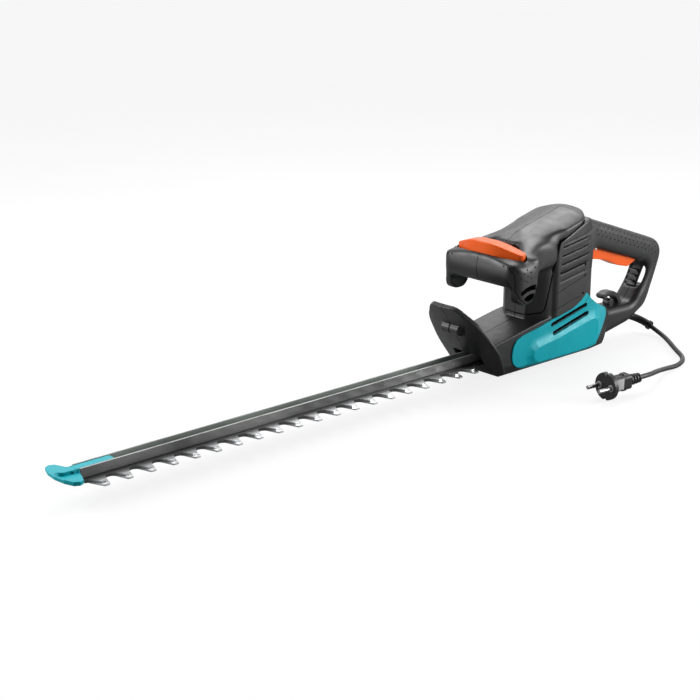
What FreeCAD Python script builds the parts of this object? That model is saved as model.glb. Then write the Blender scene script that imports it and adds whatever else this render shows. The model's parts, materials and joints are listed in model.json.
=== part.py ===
"""Electric hedge trimmer: reciprocating double blade, guard, two handles, motor and gear.

Axes: +X runs from the blade towards the rear handle, +Y to the tool's right, +Z up.
The origin is the middle of the flat face under the housing, on which the tool stands.
All sizes are millimetres.
"""
import math
import os

import FreeCAD
import Part
import Sketcher

Vector = FreeCAD.Vector
os.makedirs("parts", exist_ok=True)
doc = FreeCAD.newDocument("HedgeTrimmer")

# ------------------------------------------------------------------ driving dimensions
SIZES = {
    # cutting unit
    "tooth_pitch": 27.5,
    "tooth_count": 20,
    "last_tooth_x": -137.5,
    "lower_reach": 32.0,
    "upper_reach": 25.5,
    "tip_half": 3.2,
    "tip_corner": 1.6,
    "gap_radius": 6.5,
    "strip_half": 13.0,
    "blade_thickness": 1.8,
    "blade_gap": 0.3,
    "blade_level": 20.6,
    "rail_half": 8.0,
    "rail_wall": 2.0,
    "rail_height": 10.5,
    "rail_rear_x": -66.0,
    "rail_front_margin": 15.0,
    "bolt_radius": 2.5,
    "bolt_head_radius": 4.2,
    "bolt_head_height": 2.6,
    "bolt_pitch": 88.0,
    "bolt_count": 6,
    "last_bolt_x": -201.0,
    "nut_radius": 4.4,
    "nut_height": 3.2,
    "tip_width": 26.0,
    "tip_reach": 28.0,
    "tip_thickness": 4.5,
    "tongue_half": 5.6,
    "tongue_length": 42.0,
    # drive
    "gear_x": -11.0,
    "gear_module": 1.5,
    "gear_teeth": 40,
    "pinion_teeth": 8,
    "gear_height": 7.0,
    "gear_backlash": 0.5,
    "crank_offset": 8.0,
    "crank_radius": 14.0,
    "crank_travel_deg": 60.0,
    "yoke_clearance": 0.7,
    "yoke_rim": 6.0,
    "axle_radius": 4.0,
    "running_fit": 0.05,
    "plate_thickness": 5.0,
    "cover_thickness": 2.5,
    # motor
    "motor_shaft_radius": 4.0,
    "bearing_radius": 11.0,
    "bearing_width": 7.0,
    "stator_radius": 29.0,
    "stator_bore": 18.2,
    "stator_level": 76.0,
    "stator_height": 44.0,
    "air_gap": 0.7,
    "commutator_radius": 11.0,
    "commutator_height": 13.0,
    "commutator_level": 130.0,
    "fan_radius": 26.0,
    "fan_height": 9.0,
    "fan_level": 58.0,
    "fan_blades": 12,
    "motor_top": 168.0,
    "upper_bearing_level": 152.0,
    # housing
    "wall": 3.0,
    "body_half": 38.0,
    "tower_half": 41.5,
    "panel_thickness": 4.0,
    "handle_half": 18.5,
    "handle_round": 9.0,
    "guard_wall": 3.0,
    "guard_depth": 6.0,
    "collar_depth": 10.0,
    "guard_bow": 193.0,
    "vent_width": 4.2,
    "vent_pitch": 11.0,
    "vent_count": 5,
    "lever_half": 8.5,
    "lever_clearance": 0.5,
    "lever_travel_deg": 4.0,
    "bar_half": 56.0,
    "bar_travel": 4.0,
    "screw_radius": 2.0,
    "screw_head_radius": 3.6,
    # lead
    "cord_radius": 3.0,
    "plug_radius": 16.8,
    "pin_radius": 2.4,
    "pin_length": 19.0,
    "pin_spacing": 19.0,
}

sheet = doc.addObject("Spreadsheet::Sheet", "Sizes")
for row, (name, value) in enumerate(SIZES.items(), start=1):
    sheet.set("A%d" % row, name)
    sheet.set("B%d" % row, str(value))
    sheet.setAlias("B%d" % row, name)
doc.recompute()


def size(name):
    """The value of a driving dimension, as the sheet holds it."""
    return float(getattr(sheet, name))


SUBPARTS = []


def keep(label, thing):
    """Add a finished sub-part: a shape becomes a Part::Feature, an object keeps its own history."""
    if isinstance(thing, Part.Shape):
        feature = doc.addObject("Part::Feature", label)
        feature.Shape = thing
        thing = feature
    thing.Label = label
    SUBPARTS.append(thing)
    return thing


# ------------------------------------------------------------------ outlines
def turn_of(points, index):
    """Signed turn at a corner of a closed outline, and its two unit directions."""
    before = points[index - 1]
    here = points[index]
    after = points[(index + 1) % len(points)]
    first = Vector(here[0] - before[0], here[1] - before[1], 0)
    second = Vector(after[0] - here[0], after[1] - here[1], 0)
    first.normalize()
    second.normalize()
    return first.x * second.y - first.y * second.x, first, second


def grow(points, distance):
    """The outline moved outwards by a distance, corner radii growing or shrinking with it."""
    area = sum(points[i - 1][0] * points[i][1] - points[i][0] * points[i - 1][1] for i in range(len(points)))
    side = 1.0 if area > 0 else -1.0
    grown = []
    for index, point in enumerate(points):
        cross, first, second = turn_of(points, index)
        cross = cross * side
        normal_1 = Vector(first.y, -first.x, 0) * side
        normal_2 = Vector(second.y, -second.x, 0) * side
        middle = normal_1 + normal_2
        middle = middle * (distance / (1.0 + normal_1.dot(normal_2)))
        radius = point[2] + distance if cross > 0 else point[2] - distance
        grown.append((point[0] + middle.x, point[1] + middle.y, max(radius, 0.0)))
    return grown


def outline(points, place):
    """A closed wire through corners (a, b, radius); place turns (a, b) into a point in space."""
    edges = []
    marks = []
    for index, point in enumerate(points):
        here = Vector(point[0], point[1], 0)
        cross, first, second = turn_of(points, index)
        angle = math.atan2(cross, first.dot(second))
        reach = point[2] * abs(math.tan(angle / 2.0))
        if reach < 1e-3:
            marks.append((here, None, here))
            continue
        bisector = second - first
        bisector.normalize()
        centre = here + bisector * (point[2] / math.cos(angle / 2.0))
        marks.append((here - first * reach, centre - bisector * point[2], here + second * reach))
    for index, (start, middle, end) in enumerate(marks):
        previous = marks[index - 1][2]
        before = points[index - 1]
        ahead = (start - previous).dot(Vector(points[index][0] - before[0], points[index][1] - before[1], 0))
        if ahead < -1e-6:
            raise ValueError("corner radii meet between %s and %s" % (before, points[index]))
        if (start - previous).Length > 1e-4:
            edges.append(Part.LineSegment(place(previous), place(start)).toShape())
        if middle is not None:
            edges.append(Part.Arc(place(start), place(middle), place(end)).toShape())
    return Part.Wire(edges)


def prism_y(points, low, high):
    """A side view (x, z) extruded across the tool, from y = low to y = high."""
    wire = outline(points, lambda p: Vector(p.x, low, p.y))
    return Part.Face(wire).extrude(Vector(0, high - low, 0))


def prism_x(points, low, high):
    """A front view (y, z) extruded along the tool."""
    wire = outline(points, lambda p: Vector(low, p.x, p.y))
    return Part.Face(wire).extrude(Vector(high - low, 0, 0))


def prism_z(points, low, high):
    """A plan (x, y) extruded upwards."""
    wire = outline(points, lambda p: Vector(p.x, p.y, low))
    return Part.Face(wire).extrude(Vector(0, 0, high - low))


def box(x0, x1, y0, y1, z0, z1):
    return Part.makeBox(x1 - x0, y1 - y0, z1 - z0, Vector(x0, y0, z0))


def rod(radius, x, y, low, high):
    """An upright cylinder between two levels."""
    return Part.makeCylinder(radius, high - low, Vector(x, y, low))


def cross_rod(radius, x, z, low, high):
    """A cylinder across the tool, between two y values."""
    return Part.makeCylinder(radius, high - low, Vector(x, low, z), Vector(0, 1, 0))


def mirrored(points):
    """Both halves of a plan or front view that is symmetrical about its first axis."""
    return points + [(x, -y, r) for x, y, r in reversed(points)]


def long_slot(a0, b0, a1, b1, half):
    """The outline of a slot with round ends between two points."""
    along = Vector(a1 - a0, b1 - b0, 0)
    along.normalize()
    side = Vector(-along.y, along.x, 0) * half
    over = along * half
    corners = [(a0 - over.x - side.x, b0 - over.y - side.y), (a1 + over.x - side.x, b1 + over.y - side.y),
               (a1 + over.x + side.x, b1 + over.y + side.y), (a0 - over.x + side.x, b0 - over.y + side.y)]
    return [(a, b, half * 0.99) for a, b in corners]


def largest(shape):
    """The largest solid of a shape."""
    return max(shape.Solids, key=lambda solid: solid.Volume)


def halves(shape):
    """Split a shape at the middle plane: the right half (y > 0) and the left half (y < 0)."""
    right = shape.common(box(-800, 400, 0, 200, -50, 400))
    left = shape.common(box(-800, 400, -200, 0, -50, 400))
    return right.removeSplitter(), left.removeSplitter()


# ------------------------------------------------------------------ sketch helpers
def evaluate(holder, formula):
    """The plain number that an expression bound to the sheet gives."""
    value = holder.evalExpression(str(formula))
    return float(value.Value) if hasattr(value, "Value") else float(value)


def new_sketch(body, name, role, offset=None):
    """A sketch on one of the body's own origin planes, lifted by an expression."""
    plane = [feature for feature in body.Origin.OriginFeatures if feature.Role == role][0]
    sketch = body.newObject("Sketcher::SketchObject", name)
    sketch.AttachmentSupport = [(plane, "")]
    sketch.MapMode = "FlatFace"
    if offset is not None:
        sketch.setExpression(".AttachmentOffset.Base.z", offset)
    return sketch


def hold_point(sketch, geometry, end, a, b):
    """Fix one point of a sketch at a pair of expressions."""
    for kind, formula in (("DistanceX", a), ("DistanceY", b)):
        value = evaluate(sketch, formula)
        number = sketch.addConstraint(Sketcher.Constraint(kind, -1, 1, geometry, end, value))
        sketch.setExpression("Constraints[%d]" % number, formula)


def add_polygon(sketch, corners):
    """A closed polygon whose corners are pairs of expressions."""
    count = len(corners)
    first = sketch.GeometryCount
    points = [Vector(evaluate(sketch, a), evaluate(sketch, b), 0) for a, b in corners]
    for index in range(count):
        sketch.addGeometry(Part.LineSegment(points[index], points[(index + 1) % count]), False)
    for index in range(count):
        sketch.addConstraint(Sketcher.Constraint("Coincident", first + index, 2, first + (index + 1) % count, 1))
    for index, (a, b) in enumerate(corners):
        hold_point(sketch, first + index, 1, a, b)


def add_circle(sketch, a, b, radius):
    """A circle whose centre and radius are expressions."""
    centre = Vector(evaluate(sketch, a), evaluate(sketch, b), 0)
    index = sketch.addGeometry(Part.Circle(centre, Vector(0, 0, 1), evaluate(sketch, radius)), False)
    hold_point(sketch, index, 3, a, b)
    number = sketch.addConstraint(Sketcher.Constraint("Radius", index, evaluate(sketch, radius)))
    sketch.setExpression("Constraints[%d]" % number, radius)


def rectangle(x0, x1, y0, y1):
    return [(x0, y0), (x1, y0), (x1, y1), (x0, y1)]


def pad(body, name, sketch, length):
    feature = body.newObject("PartDesign::Pad", name)
    feature.Profile = sketch
    feature.setExpression("Length", length)
    doc.recompute()
    return feature


def pocket(body, name, sketch, length, upwards=True):
    """A pocket of a stated depth; the volume shows that it cut."""
    before = body.Shape.Volume
    feature = body.newObject("PartDesign::Pocket", name)
    feature.Profile = sketch
    feature.setExpression("Length", length)
    feature.Reversed = upwards
    doc.recompute()
    if body.Shape.Volume > before - 1e-3:
        raise ValueError("pocket %s of %s cut nothing" % (name, body.Label))
    return feature


def new_body(label):
    body = doc.addObject("PartDesign::Body", label)
    body.Label = label
    return body


def primitive(kind, name, **formulas):
    """A Part primitive whose properties are bound to expressions; x, y and z place it."""
    thing = doc.addObject(kind, name)
    for key, formula in formulas.items():
        path = ".Placement.Base." + key if key in ("x", "y", "z") else key
        thing.setExpression(path, str(formula))
    return thing


def tube(label, outer, inner, height, x, z):
    """An upright ring: one cylinder cut by another, all bound to the sheet."""
    body = primitive("Part::Cylinder", label + "_outer", Radius=outer, Height=height, x=x, z=z)
    bore = primitive("Part::Cylinder", label + "_bore", Radius=inner, Height=height, x=x, z=z)
    ring = doc.addObject("Part::Cut", label + "_ring")
    ring.Base = body
    ring.Tool = bore
    return ring


# ------------------------------------------------------------------ levels and places
THICK = size("blade_thickness")
GAP = size("blade_gap")
LOWER_Z = size("blade_level")
UPPER_Z = LOWER_Z + THICK + GAP
RAIL_Z = UPPER_Z + THICK + GAP
RAIL_FLOOR = RAIL_Z + size("rail_wall")
RAIL_TOP = RAIL_Z + size("rail_height")
TIP_TOOTH_X = size("last_tooth_x") - size("tooth_pitch") * (size("tooth_count") - 1)
RAIL_FRONT = TIP_TOOTH_X - size("rail_front_margin")
TRAVEL = size("crank_offset") * math.sin(math.radians(size("crank_travel_deg")))
GEAR_X = size("gear_x")
CENTRES = size("gear_module") * (size("gear_teeth") + size("pinion_teeth")) / 2.0
MOTOR_X = GEAR_X + CENTRES
GEAR_Z = RAIL_Z + 0.1
PLATE_Z = GEAR_Z + size("gear_height") + 2.0
COVER_TOP = LOWER_Z - 3.6
WALL = size("wall")
BODY_HALF = size("body_half")
FIT = size("running_fit")
BOLTS = [size("last_bolt_x") - size("bolt_pitch") * i for i in range(int(size("bolt_count")))]

RAIL_Z_CELLS = "(Sizes.blade_level + 2 * Sizes.blade_thickness + 2 * Sizes.blade_gap)"
RAIL_FRONT_CELLS = "(Sizes.last_tooth_x - Sizes.tooth_pitch * (Sizes.tooth_count - 1) - Sizes.rail_front_margin)"
MOTOR_X_CELLS = "(Sizes.gear_x + Sizes.gear_module * (Sizes.gear_teeth + Sizes.pinion_teeth) / 2)"
PLATE_Z_CELLS = "(%s + 0.1 + Sizes.gear_height + 2)" % RAIL_Z_CELLS
COVER_TOP_CELLS = "(Sizes.blade_level - 3.6)"


# ------------------------------------------------------------------ blades
def blade(reach, level):
    """One toothed blade: teeth on both edges, slots for the bolts and a yoke at its rear end."""
    pitch = size("tooth_pitch")
    strip = size("strip_half")
    tip = size("tip_half")
    round_gap = size("gap_radius")
    across = pitch / 2.0 - tip
    down = reach - strip - round_gap
    lean = math.atan2(across, down) - math.asin(round_gap / math.hypot(across, down))
    apex = reach - across / math.tan(lean)
    count = int(size("tooth_count"))
    yoke_half = size("crank_radius") + size("yoke_clearance")
    yoke_reach = yoke_half + size("crank_offset")
    rim = size("yoke_rim")
    edge = [(TIP_TOOTH_X - pitch / 2.0, strip, 2.0), (TIP_TOOTH_X - pitch / 2.0 + 3.0, strip, 0.0)]
    for index in range(count):
        x = TIP_TOOTH_X + pitch * index
        edge.append((x - tip, reach, size("tip_corner")))
        edge.append((x + tip, reach, size("tip_corner")))
        if index < count - 1:
            edge.append((x + pitch / 2.0, apex, round_gap))
    edge.append((size("last_tooth_x") + pitch / 2.0 - 3.0, strip, 2.0))
    edge.append((GEAR_X - yoke_half - rim - 14.0, strip, 10.0))
    edge.append((GEAR_X - yoke_half - rim, yoke_reach + rim, 8.0))
    edge.append((GEAR_X + yoke_half + rim, yoke_reach + rim, 8.0))
    plate = prism_z(mirrored(edge), level, level + THICK)
    slack = TRAVEL + 0.4
    cuts = [prism_z(long_slot(x - slack, 0, x + slack, 0, size("bolt_radius") + 0.4), level - 1, level + THICK + 1)
            for x in BOLTS]
    yoke = [(GEAR_X - yoke_half, -yoke_reach, 6.0), (GEAR_X + yoke_half, -yoke_reach, 6.0),
            (GEAR_X + yoke_half, yoke_reach, 6.0), (GEAR_X - yoke_half, yoke_reach, 6.0)]
    cuts.append(prism_z(yoke, level - 1, level + THICK + 1))
    return plate.cut(cuts)


keep("lower_blade", blade(size("lower_reach"), LOWER_Z))
keep("upper_blade", blade(size("upper_reach"), UPPER_Z))


# ------------------------------------------------------------------ guide rail and its bolts
def guide_rail():
    """An upward-open channel over the blades, drilled for the bolts."""
    body = new_body("guide_rail")
    section = new_sketch(body, "rail_section", "YZ_Plane", RAIL_FRONT_CELLS)
    half = "Sizes.rail_half"
    inner = "(Sizes.rail_half - Sizes.rail_wall)"
    low = RAIL_Z_CELLS
    floor = "(%s + Sizes.rail_wall)" % RAIL_Z_CELLS
    top = "(%s + Sizes.rail_height)" % RAIL_Z_CELLS
    add_polygon(section, [("-" + half, low), (half, low), (half, top), (inner, top), (inner, floor),
                          ("-" + inner, floor), ("-" + inner, top), ("-" + half, top)])
    pad(body, "rail_pad", section, "Sizes.rail_rear_x - " + RAIL_FRONT_CELLS)
    holes = new_sketch(body, "rail_holes", "XY_Plane", RAIL_Z_CELLS)
    for index in range(len(BOLTS)):
        add_circle(holes, "Sizes.last_bolt_x - Sizes.bolt_pitch * %d" % index, "0", "Sizes.bolt_radius + 0.1")
    pocket(body, "rail_drilling", holes, "Sizes.rail_wall")
    return body


keep("guide_rail", guide_rail())

head_top = RAIL_FLOOR + size("bolt_head_height")
nut_top = LOWER_Z - GAP
bolts = []
nuts = []
for bolt_x in BOLTS:
    shank = rod(size("bolt_radius"), bolt_x, 0, nut_top - size("nut_height"), RAIL_FLOOR)
    bolts.append(shank.fuse(rod(size("bolt_head_radius"), bolt_x, 0, RAIL_FLOOR, head_top)).removeSplitter())
    hexagon = [(bolt_x + size("nut_radius") * math.cos(math.radians(60 * i)),
                size("nut_radius") * math.sin(math.radians(60 * i)), 0.0) for i in range(6)]
    nut = prism_z(hexagon, nut_top - size("nut_height"), nut_top)
    nuts.append(nut.cut(rod(size("bolt_radius") + 0.02, bolt_x, 0, nut_top - 9, nut_top + 1)))
keep("rail_bolts", Part.makeCompound(bolts))
keep("rail_nuts", Part.makeCompound(nuts))


def tip_protector():
    """The plastic nose: a half-moon plate, a block against the rail and a tongue down its channel."""
    half = size("tip_width")
    front = RAIL_FRONT - size("tip_reach")
    plate_top = RAIL_TOP - 3.4
    plan = [(RAIL_FRONT - 1.0, -size("rail_half"), 0.0), (RAIL_FRONT - 13.0, -half, 3.5),
            (front - 12.0, 0.0, 30.0), (RAIL_FRONT - 13.0, half, 3.5), (RAIL_FRONT - 1.0, size("rail_half"), 0.0)]
    plate = prism_z(plan, plate_top - size("tip_thickness"), plate_top)
    block = box(RAIL_FRONT - 7.0, RAIL_FRONT, -size("rail_half"), size("rail_half"), RAIL_Z + 0.3, RAIL_TOP - 0.6)
    tongue_half = size("tongue_half")
    tongue = [(front + 8.0, -tongue_half, tongue_half * 0.98), (front + 8.0, tongue_half, tongue_half * 0.98),
              (RAIL_FRONT + size("tongue_length"), tongue_half, 1.0),
              (RAIL_FRONT + size("tongue_length"), -tongue_half, 1.0)]
    raised = prism_z(tongue, RAIL_FLOOR, RAIL_TOP - 0.4)
    pad_under = plate.fuse([block, raised])
    head_room = rod(size("bolt_head_radius") + 0.3, BOLTS[-1], 0, RAIL_FLOOR - 1, head_top + 0.3)
    return pad_under.cut(head_room).removeSplitter()


keep("tip_protector", tip_protector())


# ------------------------------------------------------------------ drive
def involute(base, radius):
    """The polar angle that an involute of a base circle has turned at a radius."""
    ratio = math.sqrt(max((radius / base) ** 2 - 1.0, 0.0))
    return ratio - math.atan(ratio)


def spur_gear(teeth, other, addendum, x, low, height, start_deg):
    """A spur gear with involute flanks at 25 degrees, thinned by half the backlash."""
    module = size("gear_module")
    pressure = math.radians(25.0)
    pitch_radius = module * teeth / 2.0
    base = pitch_radius * math.cos(pressure)
    root = pitch_radius - 1.15 * module
    tip = pitch_radius + addendum * module
    half_angle = math.pi / (2.0 * teeth) - size("gear_backlash") / (4.0 * pitch_radius)
    zero = half_angle + involute(base, pitch_radius)
    lowest = max(root, base)
    radii = [lowest + (tip - lowest) * step / 3.0 for step in range(4)]
    points = []
    for index in range(teeth):
        middle = math.radians(start_deg) + 2.0 * math.pi * index / teeth
        flank = [(r, zero - involute(base, r)) for r in radii]
        if root < base:
            flank.insert(0, (root, zero))
        for r, angle in flank:
            points.append((x + r * math.cos(middle - angle), r * math.sin(middle - angle), 0.0))
        for r, angle in reversed(flank):
            points.append((x + r * math.cos(middle + angle), r * math.sin(middle + angle), 0.0))
    del other
    return prism_z(points, low, low + height)


gear_teeth = int(size("gear_teeth"))
pinion_teeth = int(size("pinion_teeth"))
gear_blank = spur_gear(gear_teeth, pinion_teeth, 0.7, GEAR_X, GEAR_Z, size("gear_height"), 0.0)
gear_cuts = [rod(size("axle_radius") + FIT, GEAR_X, 0, GEAR_Z - 1, PLATE_Z)]
for angle_deg in range(0, 360, 60):
    gear_cuts.append(rod(4.5, GEAR_X + 17 * math.cos(math.radians(angle_deg)),
                         17 * math.sin(math.radians(angle_deg)), GEAR_Z + 2.5, PLATE_Z))
keep("drive_gear", gear_blank.cut(gear_cuts))

disc_split = LOWER_Z + THICK + GAP / 2.0
for label, side, low, high in (("upper_eccentric", 1, disc_split, GEAR_Z),
                               ("lower_eccentric", -1, LOWER_Z - GAP, disc_split)):
    disc = rod(size("crank_radius"), GEAR_X, side * size("crank_offset"), low, high)
    keep(label, disc.cut(rod(size("axle_radius") + FIT, GEAR_X, 0, low - 1, high + 1)))

axle = primitive("Part::Cylinder", "gear_axle_pin", Radius="Sizes.axle_radius", x="Sizes.gear_x",
                 z=COVER_TOP_CELLS, Height="%s + Sizes.plate_thickness - %s" % (PLATE_Z_CELLS, COVER_TOP_CELLS))
keep("gear_axle", axle)

pinion = spur_gear(pinion_teeth, gear_teeth, 0.85, MOTOR_X, GEAR_Z + 0.2, size("gear_height"),
                   180.0 + 180.0 / pinion_teeth)
keep("motor_pinion", pinion.cut(rod(size("motor_shaft_radius"), MOTOR_X, 0, GEAR_Z - 1, PLATE_Z)))


def gearbox_plate():
    """The die-cast plate that carries the gear axle and the lower motor bearing."""
    body = new_body("gearbox_plate")
    plan = new_sketch(body, "plate_plan", "XY_Plane", PLATE_Z_CELLS)
    half = "(Sizes.body_half - Sizes.wall)"
    add_polygon(plan, rectangle("Sizes.gear_x - 44", "Sizes.gear_x + 66", "-" + half, half))
    pad(body, "plate_pad", plan, "Sizes.plate_thickness")
    collar = new_sketch(body, "collar_plan", "XY_Plane", PLATE_Z_CELLS)
    add_circle(collar, MOTOR_X_CELLS, "0", "Sizes.bearing_radius + 3")
    pad(body, "collar_pad", collar, "Sizes.bearing_width")
    seats = new_sketch(body, "seat_plan", "XY_Plane", PLATE_Z_CELLS)
    add_circle(seats, MOTOR_X_CELLS, "0", "Sizes.bearing_radius")
    add_circle(seats, "Sizes.gear_x", "0", "Sizes.axle_radius")
    pocket(body, "seat_bores", seats, "Sizes.bearing_width + 1")
    return body


keep("gearbox_plate", gearbox_plate())


def crankcase_cover():
    """The pressed sheet cover under the blades, with a seat for the gear axle."""
    body = new_body("crankcase_cover")
    plan = new_sketch(body, "cover_plan", "XY_Plane", "%s - Sizes.cover_thickness" % COVER_TOP_CELLS)
    half = "(Sizes.body_half - Sizes.wall - 4.6)"
    add_polygon(plan, rectangle("Sizes.gear_x - 74", "Sizes.gear_x + 50", "-" + half, half))
    pad(body, "cover_pad", plan, "Sizes.cover_thickness")
    relief = new_sketch(body, "relief_plan", "XY_Plane", "%s - Sizes.cover_thickness" % COVER_TOP_CELLS)
    for y in ("-24", "24"):
        for x in ("Sizes.gear_x - 64", "Sizes.gear_x + 40"):
            add_circle(relief, x, y, "Sizes.screw_radius")
    pocket(body, "screw_holes", relief, "Sizes.cover_thickness")
    return body


keep("crankcase_cover", crankcase_cover())


# ------------------------------------------------------------------ motor
shaft = primitive("Part::Cylinder", "shaft_bar", Radius="Sizes.motor_shaft_radius", x=MOTOR_X_CELLS,
                  z="%s + 0.3" % RAIL_Z_CELLS, Height="Sizes.motor_top - %s - 0.3" % RAIL_Z_CELLS)
keep("motor_shaft", shaft)
armature = tube("armature_core", "Sizes.stator_bore - Sizes.air_gap", "Sizes.motor_shaft_radius",
                "Sizes.stator_height", MOTOR_X_CELLS, "Sizes.stator_level")
keep("armature_core", armature)
keep("commutator", tube("commutator", "Sizes.commutator_radius", "Sizes.motor_shaft_radius",
                        "Sizes.commutator_height", MOTOR_X_CELLS, "Sizes.commutator_level"))
keep("stator_core", tube("stator_core", "Sizes.stator_radius", "Sizes.stator_bore",
                         "Sizes.stator_height", MOTOR_X_CELLS, "Sizes.stator_level"))
keep("lower_bearing", tube("lower_bearing", "Sizes.bearing_radius", "Sizes.motor_shaft_radius + Sizes.running_fit",
                           "Sizes.bearing_width", MOTOR_X_CELLS, PLATE_Z_CELLS))
keep("upper_bearing", tube("upper_bearing", "Sizes.bearing_radius", "Sizes.motor_shaft_radius + Sizes.running_fit",
                           "Sizes.bearing_width", MOTOR_X_CELLS, "Sizes.upper_bearing_level"))

coil_height = 6.0
coils = []
for coil_low in (size("stator_level") - coil_height, size("stator_level") + size("stator_height")):
    coil = rod(size("stator_radius") - 3.0, MOTOR_X, 0, coil_low, coil_low + coil_height)
    coil = coil.cut(rod(size("stator_bore") + 1.0, MOTOR_X, 0, coil_low - 1, coil_low + coil_height + 1))
    coils.append(coil.cut(box(MOTOR_X - 40, MOTOR_X + 40, -4, 4, coil_low - 1, coil_low + coil_height + 1)))
keep("field_coils", Part.makeCompound(coils))


def cooling_fan():
    """A radial fan under the motor: a disc, a hub and curved blades."""
    low = size("fan_level")
    high = low + size("fan_height")
    radius = size("fan_radius")
    hub = rod(9.0, MOTOR_X, 0, low, high)
    disc = rod(radius, MOTOR_X, 0, low, low + 1.8)
    vanes = []
    for index in range(int(size("fan_blades"))):
        vane = box(MOTOR_X + 7.5, MOTOR_X + radius - 0.5, -0.8, 0.8, low + 1.0, high)
        vane.rotate(Vector(MOTOR_X + 7.5, 0, 0), Vector(0, 0, 1), 18.0)
        vane.rotate(Vector(MOTOR_X, 0, 0), Vector(0, 0, 1), 360.0 * index / size("fan_blades"))
        vanes.append(vane)
    fan = disc.fuse([hub] + vanes).common(rod(radius, MOTOR_X, 0, low, high))
    return fan.cut(rod(size("motor_shaft_radius"), MOTOR_X, 0, low - 1, high + 1)).removeSplitter()


keep("cooling_fan", cooling_fan())

brush_low = size("commutator_level") + 3.5
brush_parts = []
holder_parts = []
for side in (-1, 1):
    inner = size("commutator_radius") + 0.4
    brush = box(MOTOR_X - 3, MOTOR_X + 3, inner, inner + 12, brush_low, brush_low + 6)
    holder = box(MOTOR_X - 5, MOTOR_X + 5, inner + 2, inner + 17, brush_low - 2, brush_low + 8)
    holder = holder.cut(box(MOTOR_X - 3, MOTOR_X + 3, inner + 1, inner + 15, brush_low, brush_low + 6))
    for target, solid in ((brush_parts, brush), (holder_parts, holder)):
        if side < 0:
            solid = solid.mirror(Vector(0, 0, 0), Vector(0, 1, 0))
        target.append(solid)
keep("carbon_brushes", Part.makeCompound(brush_parts))
keep("brush_holders", Part.makeCompound(holder_parts))

# ------------------------------------------------------------------ housing outlines
GUARD_LEAN = 0.667
guard_x = -100.0
BODY_FRONT = guard_x + size("collar_depth") / math.cos(math.atan(GUARD_LEAN))
BODY_SIDE = [(BODY_FRONT, 0, 16), (84, 0, 40), (112, 9.5, 30), (130, 31, 10), (130, 46, 6), (95, 62, 12), (56, 76, 20),
             (-34, 65.5, 30), (BODY_FRONT - GUARD_LEAN * 50, 50, 4)]
BODY_PLAN = [(-135, -BODY_HALF, 0), (76, -BODY_HALF, 90), (130, -15, 14), (130, 15, 14), (76, BODY_HALF, 90),
             (-135, BODY_HALF, 0)]
BODY_SECTION = [(-17, 0, 10), (17, 0, 10), (BODY_HALF, 16.5, 10), (BODY_HALF, 120, 0), (-BODY_HALF, 120, 0),
                (-BODY_HALF, 16.5, 10)]
TOWER_HALF = size("tower_half")
TOWER_PLAN = mirrored([(-20, 30, 0), (-8, TOWER_HALF, 10), (57, TOWER_HALF, 42), (82.5, 17, 39)])
TOWER_SIDE = [(-37, 50, 0), (88, 50, 0), (88, 168, 4), (66, 172, 30), (52, 185, 5), (-37, 165, 0)]
COLUMN_PLAN = mirrored([(-38, 17, 8), (-22, 35, 20), (2, TOWER_HALF, 40), (42, TOWER_HALF, 24), (56.5, 22, 20)])
DOME_PLAN = mirrored([(-60, 17, 9), (-24, 36.5, 30), (8, TOWER_HALF, 50), (42, TOWER_HALF, 24), (56.5, 22, 20)])
CROWN = 95.0
CROWN_START = (-33.0, 175.5)
CROWN_END = (36.0, 193.0)
DOME_SIDE = [(-90, 50, 0), (70, 50, 0), (70, 193.6, 0), (30, 193.6, 60), (-30, 177.5, 60), (-58, 164.5, 5), (-59, 158, 6),
             (-36, 107, 60), (-38, 66, 0), (-90, 50, 0)][1:-1]
COVER_REGION = [(-90, 60, 0), (-44, 68.5, 0), (-22.5, 74.5, 8), (-5.5, 160, 8), (43, 180.5, 0), (100, 201, 0),
                (100, 240, 0), (-90, 240, 0)]
PANEL_SIDE = [(-84, 11, 20), (-84, 58, 22), (-30, 61.5, 80), (28, 73, 60), (56, 90, 3), (109, 53, 12),
              (123.5, 38, 9), (111, 20, 24), (64, 11, 50)]
PAD_SIDE = [(-48, 19.5, 6), (-38, 38, 4), (58, 55, 6), (78, 46, 8), (78, 28, 10), (62, 19.5, 20)]
LOOP_OUTER = [(70, 20, 0), (70, 179.4, 0), (206, 132, 120), (241, 119.5, 22), (220, 68, 60), (204, 38, 26),
              (170, 21, 30), (112, 11, 0), (84, 8, 0)]
LOOP_INNER = [(91, 133.5, 5), (91, 56, 8), (128, 47, 40), (176, 46, 16), (200, 78, 50), (206.5, 95.5, 8)]
LEVER_SIDE = [(92.5, 118.5, 3), (92.5, 139, 2), (181, 109, 2), (188.5, 101.5, 1), (172, 95, 8), (152, 100, 30),
              (124, 112, 60)]
GRIP_SIDE = [(-110, 136, 12), (-104, 121, 7), (-80, 121, 12), (-70, 134, 12), (-73, 155, 10), (-106, 163, 4)]
LOBE_SIDE = [(-107, 141, 12), (-101, 101.5, 14), (-76, 101.5, 14), (-64.5, 126, 25), (-65, 153, 10), (-90, 159, 12)]
HANDLE_FRONT = [(-62, 98, 8), (-47.5, 98, 5), (-47.5, 121, 10), (47.5, 121, 10), (47.5, 98, 5), (62, 98, 8),
                (62, 151, 12), (15, 158.5, 80), (-15, 158.5, 80), (-62, 151, 12)]
ARM_PLAN = [(-92, 50, 0), (-70, 62, 8), (-10, 44, 8), (-8, 34, 0), (-40, 32, 4), (-62, 47, 8)]


def envelope(offset):
    """The plan and front view of the lower housing, moved out or in by an offset."""
    return prism_z(grow(BODY_PLAN, offset), -5, 115).common(prism_x(grow(BODY_SECTION, offset), -140, 140))


def lower_body(offset):
    return envelope(offset).common(prism_y(grow(BODY_SIDE, offset), -60, 60))


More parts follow.
